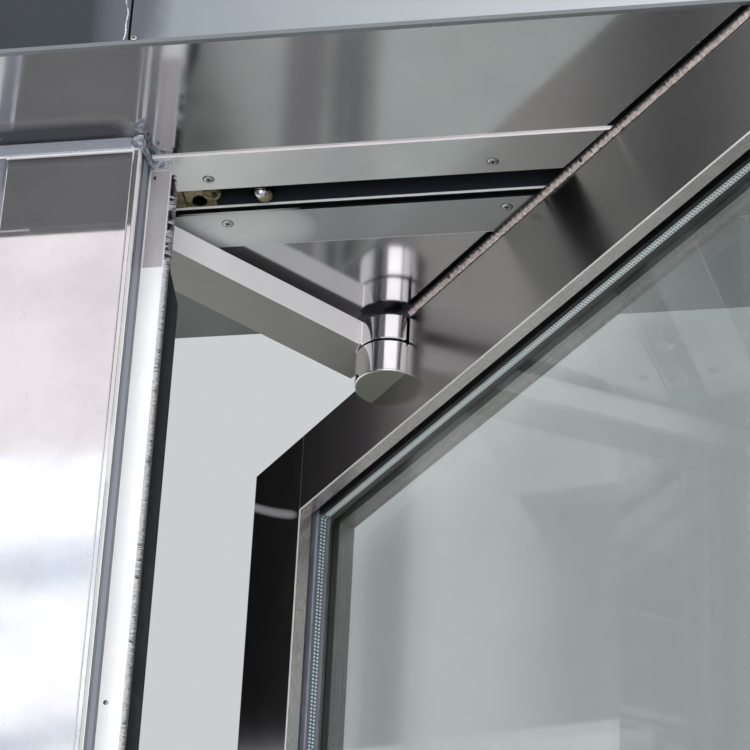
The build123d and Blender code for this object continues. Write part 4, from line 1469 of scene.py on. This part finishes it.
@dataclass(frozen=True)
class CornerFilm:
    """Crumpled clear film left over the top corner of each post, in metres.

    Attributes:
        doors: Sizes of the CAD model.
        finishes: Where the materials come from.
        across: Place of each fold across the jamb and in depth.
        tops: Height of the upper edge at each fold.
        feet: Height of the lower edge at each fold.
        rows: Faces from top to foot.
        fine: Faces from fold to fold.
        jitter: How far a point may move across, in depth and up.
        seed: Seed of the creases.
    """

    doors: DoorSizes
    finishes: Finishes
    across: tuple[tuple[float, float], ...] = (
        (0.0400, -0.0972), (0.0450, -0.0976), (0.0492, -0.0966), (0.0497, -0.0860), (0.0495, -0.0740),
        (0.0500, -0.0640), (0.0530, -0.0618), (0.0590, -0.0616), (0.0655, -0.0614))
    tops: tuple[float, ...] = (2.3962, 2.3992, 2.3994, 2.3990, 2.3988, 2.3982, 2.3984, 2.3986, 2.3984)
    feet: tuple[float, ...] = (2.3900, 2.3870, 2.3830, 2.3850, 2.3870, 2.3880, 2.3896, 2.3908, 2.3904)
    rows: int = 12
    fine: int = 4
    jitter: tuple[tuple[float, float], ...] = ((-0.0007, 0.0007), (-0.0008, 0.0004), (-0.0006, 0.0003))
    seed: int = 31

    @staticmethod
    def _between(values: tuple[float, ...], at: float) -> float:
        """The value part way along a list."""
        low = min(int(at), len(values) - 2)
        return values[low] + (values[low + 1] - values[low]) * (at - low)

    def build(self) -> list[bpy.types.Object]:
        """Make one creased sheet for each post.

        Returns:
            Both sheets as one piece.
        """
        film = Piece("post_film", self.finishes)
        for side in Side:
            dice = random.Random(self.seed)
            jamb = self.doors.jamb_frame(side)
            columns = []
            for i in range((len(self.across) - 1) * self.fine + 1):
                x, y, top, foot = (self._between(values, i / self.fine)
                                   for values in (*zip(*self.across), self.tops, self.feet))
                column = [(x, y, top + (foot - top) * j / self.rows) for j in range(self.rows + 1)]
                columns.append([jamb @ Vector([part + dice.uniform(*span) for part, span in zip(spot, self.jitter)])
                                for spot in column])
            film.sheet(columns)
        return [film.finish(Body.FRAME, "trim_steel", ("film",))]


def rectangle(name: str, first: Point, last: Point, material: bpy.types.Material) -> bpy.types.Object:
    """Add a flat rectangle of the studio.

    Args:
        name: Its name.
        first: One corner.
        last: The opposite corner, which differs along two axes.
        material: Its material.

    Returns:
        The new object.
    """
    across, up = (i for i in range(3) if first[i] != last[i])
    corners = [list(first) for _ in range(4)]
    corners[1][across] = corners[2][across] = last[across]
    corners[2][up] = corners[3][up] = last[up]
    made = bmesh.new()
    bmesh.ops.contextual_create(made, geom=[made.verts.new(corner) for corner in corners])
    data = bpy.data.meshes.new(name)
    made.to_mesh(data)
    made.free()
    data.materials.append(material)
    piece = bpy.data.objects.new(name, data)
    bpy.context.scene.collection.objects.link(piece)
    return piece


def card(name: str, first: Point, last: Point, g: Graph, colour: Wire) -> None:
    """Add a glowing card that only polished metal sees.

    Args:
        name: Its name.
        first: One corner.
        last: The opposite corner.
        g: The tree that the colour belongs to.
        colour: Its light.
    """
    shader = g.node("ShaderNodeEmission", {}, {"Color": colour, "Strength": 1.0})
    made = rectangle(name, first, last, g.finish(shader))
    made.visible_camera = made.visible_diffuse = made.visible_shadow = made.visible_transmission = False


@dataclass(frozen=True)
class Bands:
    """Bands of light on a card, counted outwards from the middle plane.

    Attributes:
        axis: What they are counted along.
        reach: Where they end, in metres.
        levels: Place in metres and brightness of each stop.
        tint: Colour of the light.
    """

    axis: Axis
    reach: float
    levels: tuple[tuple[float, float], ...]
    tint: Colour = (1.0, 1.0, 1.0)

    def hang(self, name: str, first: Point, last: Point) -> None:
        """Add a card with these bands between two opposite corners.

        Args:
            name: Its name.
            first: One corner.
            last: The opposite corner.
        """
        g = Graph(name)
        stops = tuple((at / self.reach, tuple(level * part for part in self.tint)) for at, level in self.levels)
        card(name, first, last, g, g.ramp(abs(g.axis(g.world_place(), self.axis)).within(0.0, self.reach), stops))


def even_bands(level: float, axis: Axis = Axis.Y, reach: float = 1.0, tint: Colour = (1.0, 1.0, 1.0)) -> Bands:
    """Bands of one and the same brightness."""
    return Bands(axis, reach, ((0.0, level), (reach, level)), tint)


@dataclass(frozen=True)
class SoftBox:
    """A rectangular lamp.

    Attributes:
        name: Its name.
        place: Where it hangs.
        aim: Where it points.
        width: Its width in metres.
        height: Its height in metres.
        bright: Brightness of its face.
        lights_floor: Whether the floor takes its light.
    """

    name: str
    place: Point
    aim: Point
    width: float
    height: float
    bright: float
    lights_floor: bool = True

    def hang(self, floor: bpy.types.Object) -> None:
        """Add the lamp.

        Args:
            floor: The floor, which a lamp near it may leave unlit.
        """
        light = bpy.data.lights.new(self.name, "AREA")
        light.shape, light.size, light.size_y = "RECTANGLE", self.width, self.height
        light.energy = self.bright * math.pi * self.width * self.height
        light.color = (0.97, 0.985, 1.0)
        lamp = bpy.data.objects.new(self.name, light)
        lamp.location = self.place
        lamp.visible_glossy = False
        lamp.rotation_euler = (Vector(self.aim) - Vector(self.place)).to_track_quat("-Z", "Y").to_euler()
        bpy.context.scene.collection.objects.link(lamp)
        if not self.lights_floor:
            unlit = bpy.data.collections.new(f"unlit_by_{self.name}")
            unlit.objects.link(floor)
            unlit.collection_objects[0].light_linking.link_state = "EXCLUDE"
            lamp.light_linking.receiver_collection = unlit


@dataclass(frozen=True)
class Studio:
    """Floor, lamps, reflection cards and camera.

    Attributes:
        camera_place: Where the camera stands, in metres.
        yaw: Heading of the camera, clockwise from the way into the building.
        pitch: How far it looks up.
        roll: How far it is tilted.
        sensor: Width of its sensor in millimetres.
        focal_pixels: Its focal length in pixels.
        frame_pixels: Width of its picture in pixels.
        floor_reach: Half width of the floor.
        boxes: The lamps.
    """

    camera_place: Point = (-0.31224, -2.16158, 0.80561)
    yaw: float = math.radians(-10.67)
    pitch: float = math.radians(32.68)
    roll: float = math.radians(2.79)
    sensor: float = 36.0
    focal_pixels: float = 3258.33
    frame_pixels: float = 750.0
    floor_reach: float = 12.0
    boxes: tuple[SoftBox, ...] = (
        SoftBox("front_box", (-0.6, -5.0, 5.3), (-0.3, 0.0, 2.2), 5.4, 3.6, 1.45),
        SoftBox("low_box", (0.4, -3.6, 1.0), (-0.3, 0.1, 2.3), 3.4, 1.7, 4.1, lights_floor=False),
        SoftBox("right_box", (4.4, -2.6, 2.6), (0.0, 0.0, 1.6), 2.4, 2.4, 1.2),
        SoftBox("rear_box", (0.6, 4.6, 4.4), (0.0, 0.0, 1.6), 3.2, 2.4, 1.0))

    def build(self) -> None:
        """Make the whole studio."""
        self._world()
        floor = self._floor()
        for box in self.boxes:
            box.hang(floor)
        self._side_cards()
        self._front_card()
        self._floor_cards()
        self._doorway_cards()
        self._camera()
        bpy.context.scene.view_settings.view_transform = "Standard"

    @staticmethod
    def _world() -> None:
        """Make an even sky, with a plain backdrop where it is seen."""
        g = Graph("studio", "World")
        direct, mirrored, through = (g.node("ShaderNodeLightPath", {}, {}, f"Is {ray} Ray")
                                     for ray in ("Camera", "Glossy", "Transmission"))
        light, backdrop = (g.node("ShaderNodeBackground", {}, {"Color": colour})
                           for colour in ((0.70, 0.71, 0.72), linear("cbced0")))
        bpy.context.scene.world = g.finish(g.mix_shaders(direct.larger(mirrored).larger(through), light, backdrop))

    def _floor(self) -> bpy.types.Object:
        """Make the pale floor.

        Returns:
            The floor.
        """
        g = Graph("pale_floor")
        colour = g.blend(g.noise(g.place(), 0.8, 4.0), "dcdcdb", "e4e4e3")
        reach = self.floor_reach
        return rectangle("floor", (-reach, -reach, -0.001), (reach, reach, -0.001), g.finish(g.surface(colour, 0.9)))

    @staticmethod
    def _side_cards() -> None:
        """Add the banded cards at both sides."""
        reach = 2.6
        bands = Bands(Axis.Y, reach, (
            (0.0, 0.10), (0.36, 0.06), (0.42, 0.10), (0.47, 0.08), (0.56, 0.20), (0.61, 0.16), (0.64, 0.26),
            (0.73, 0.60), (0.865, 0.80), (0.885, 0.12), (0.90, 0.010), (1.0, 0.008), (reach, 0.03)),
            (1.0, 0.97, 0.96))
        for side in Side:
            x = side.sign * reach
            bands.hang(f"side_card_{side.value}", (x, 0.0, 2.75), (x, reach, 5.4))

    @staticmethod
    def _front_card() -> None:
        """Add the bright streaked card in front, which the posts reflect."""
        g = Graph("front_card")
        place = g.world_place()
        sky = g.ramp(g.noise(place, (0.9, 1.0, 6.0), 3.0, 0.5), (
            (0.0, (0.50, 0.60, 0.74)), (0.38, (0.74, 0.82, 0.92)), (0.50, (1.30, 1.34, 1.38)),
            (1.0, (1.5, 1.5, 1.5))), "EASE")
        colour = g.blend(g.axis(place, Axis.Z) > 5.412, sky, (0.97, 0.92, 0.93))
        card("front_card", (-5.0, -5.4, 2.8), (4.0, -5.4, 7.2), g, colour)

    @staticmethod
    def _floor_cards() -> None:
        """Add the banded cards just above the floor, behind and in front."""
        reach, width, height = 2.6, 6.0, 0.02
        rear = Bands(Axis.X, reach, (
            (0.0, 0.40), (0.60, 0.26), (0.78, 0.38), (0.92, 0.56), (1.22, 0.64), (1.34, 0.52), (1.42, 0.50),
            (1.50, 0.48), (1.585, 0.44), (1.61, 0.12), (1.65, 0.08), (1.70, 0.09), (1.76, 0.22), (1.95, 0.11),
            (reach, 0.3)), (0.97, 1.0, 1.0))
        front = Bands(Axis.X, reach, ((0.0, 1.9), (1.25, 1.9), (1.45, 0.24), (reach, 0.24)), (1.0, 0.98, 1.0))
        rear.hang("rear_floor_card", (-width, 1.3, height), (width, 7.0, height))
        front.hang("front_floor_card", (-width, -1.6, height), (width, -7.0, height))

    @staticmethod
    def _doorway_cards() -> None:
        """Add the even cards round the doorway, which the header and the posts reflect."""
        sizes = DoorSizes()
        shade = even_bands(0.150)
        shade.hang("edge_card", (-3.4, -0.2215, 2.4005), (3.4, -0.2135, 2.4005))
        even_bands(0.10, Axis.X, 1.5, (0.9, 0.95, 1.15)).hang("doorway_card", (-1.5, 1.7, 1.6), (1.5, 1.7, 4.2))
        for side in Side:
            sign, word = side.sign, side.value
            shade.hang(f"header_card_{word}", (sign * 0.97, sizes.header_front, 2.401),
                       (sign * 3.4, sizes.header_rear, 2.401))
            even_bands(0.80).hang(f"wall_card_{word}", (sign * 1.7, 0.05, 0.3), (sign * 1.7, 2.6, 2.5))

    def _camera(self) -> None:
        """Set up the camera that was fitted to the photo."""
        ahead = Vector((math.sin(self.yaw) * math.cos(self.pitch), math.cos(self.yaw) * math.cos(self.pitch),
                        math.sin(self.pitch)))
        right = Vector((math.cos(self.yaw), -math.sin(self.yaw), 0.0))
        up = right.cross(ahead)
        across = math.cos(self.roll) * right + math.sin(self.roll) * up
        above = -math.sin(self.roll) * right + math.cos(self.roll) * up
        data = bpy.data.cameras.new("camera")
        data.sensor_fit, data.sensor_width = "HORIZONTAL", self.sensor
        data.lens = self.sensor * self.focal_pixels / self.frame_pixels
        data.clip_start, data.clip_end = 0.05, 60.0
        camera = bpy.data.objects.new("camera", data)
        turn = Matrix((across, above, -ahead)).transposed().to_quaternion()
        camera.matrix_world = Matrix.LocRotScale(Vector(self.camera_place), turn, None)
        bpy.context.scene.collection.objects.link(camera)
        bpy.context.scene.camera = camera


def main() -> None:
    """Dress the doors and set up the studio."""
    logging.basicConfig(level=logging.INFO)
    doors = DoorSizes()
    finishes = Finishes()
    for name, finish in finishes.dress(frame["nodes"], frame["record"]):
        LOG.info("%s is dressed in %s", name, finish)
    for part in (Screws, JointSealant, StopBolts, Pile, CornerFilm):
        for piece in part(doors, finishes).build():
            LOG.info("%s: %d faces", piece.name, len(piece.data.polygons))
    Studio().build()


if __name__ == "__main__":
    main()
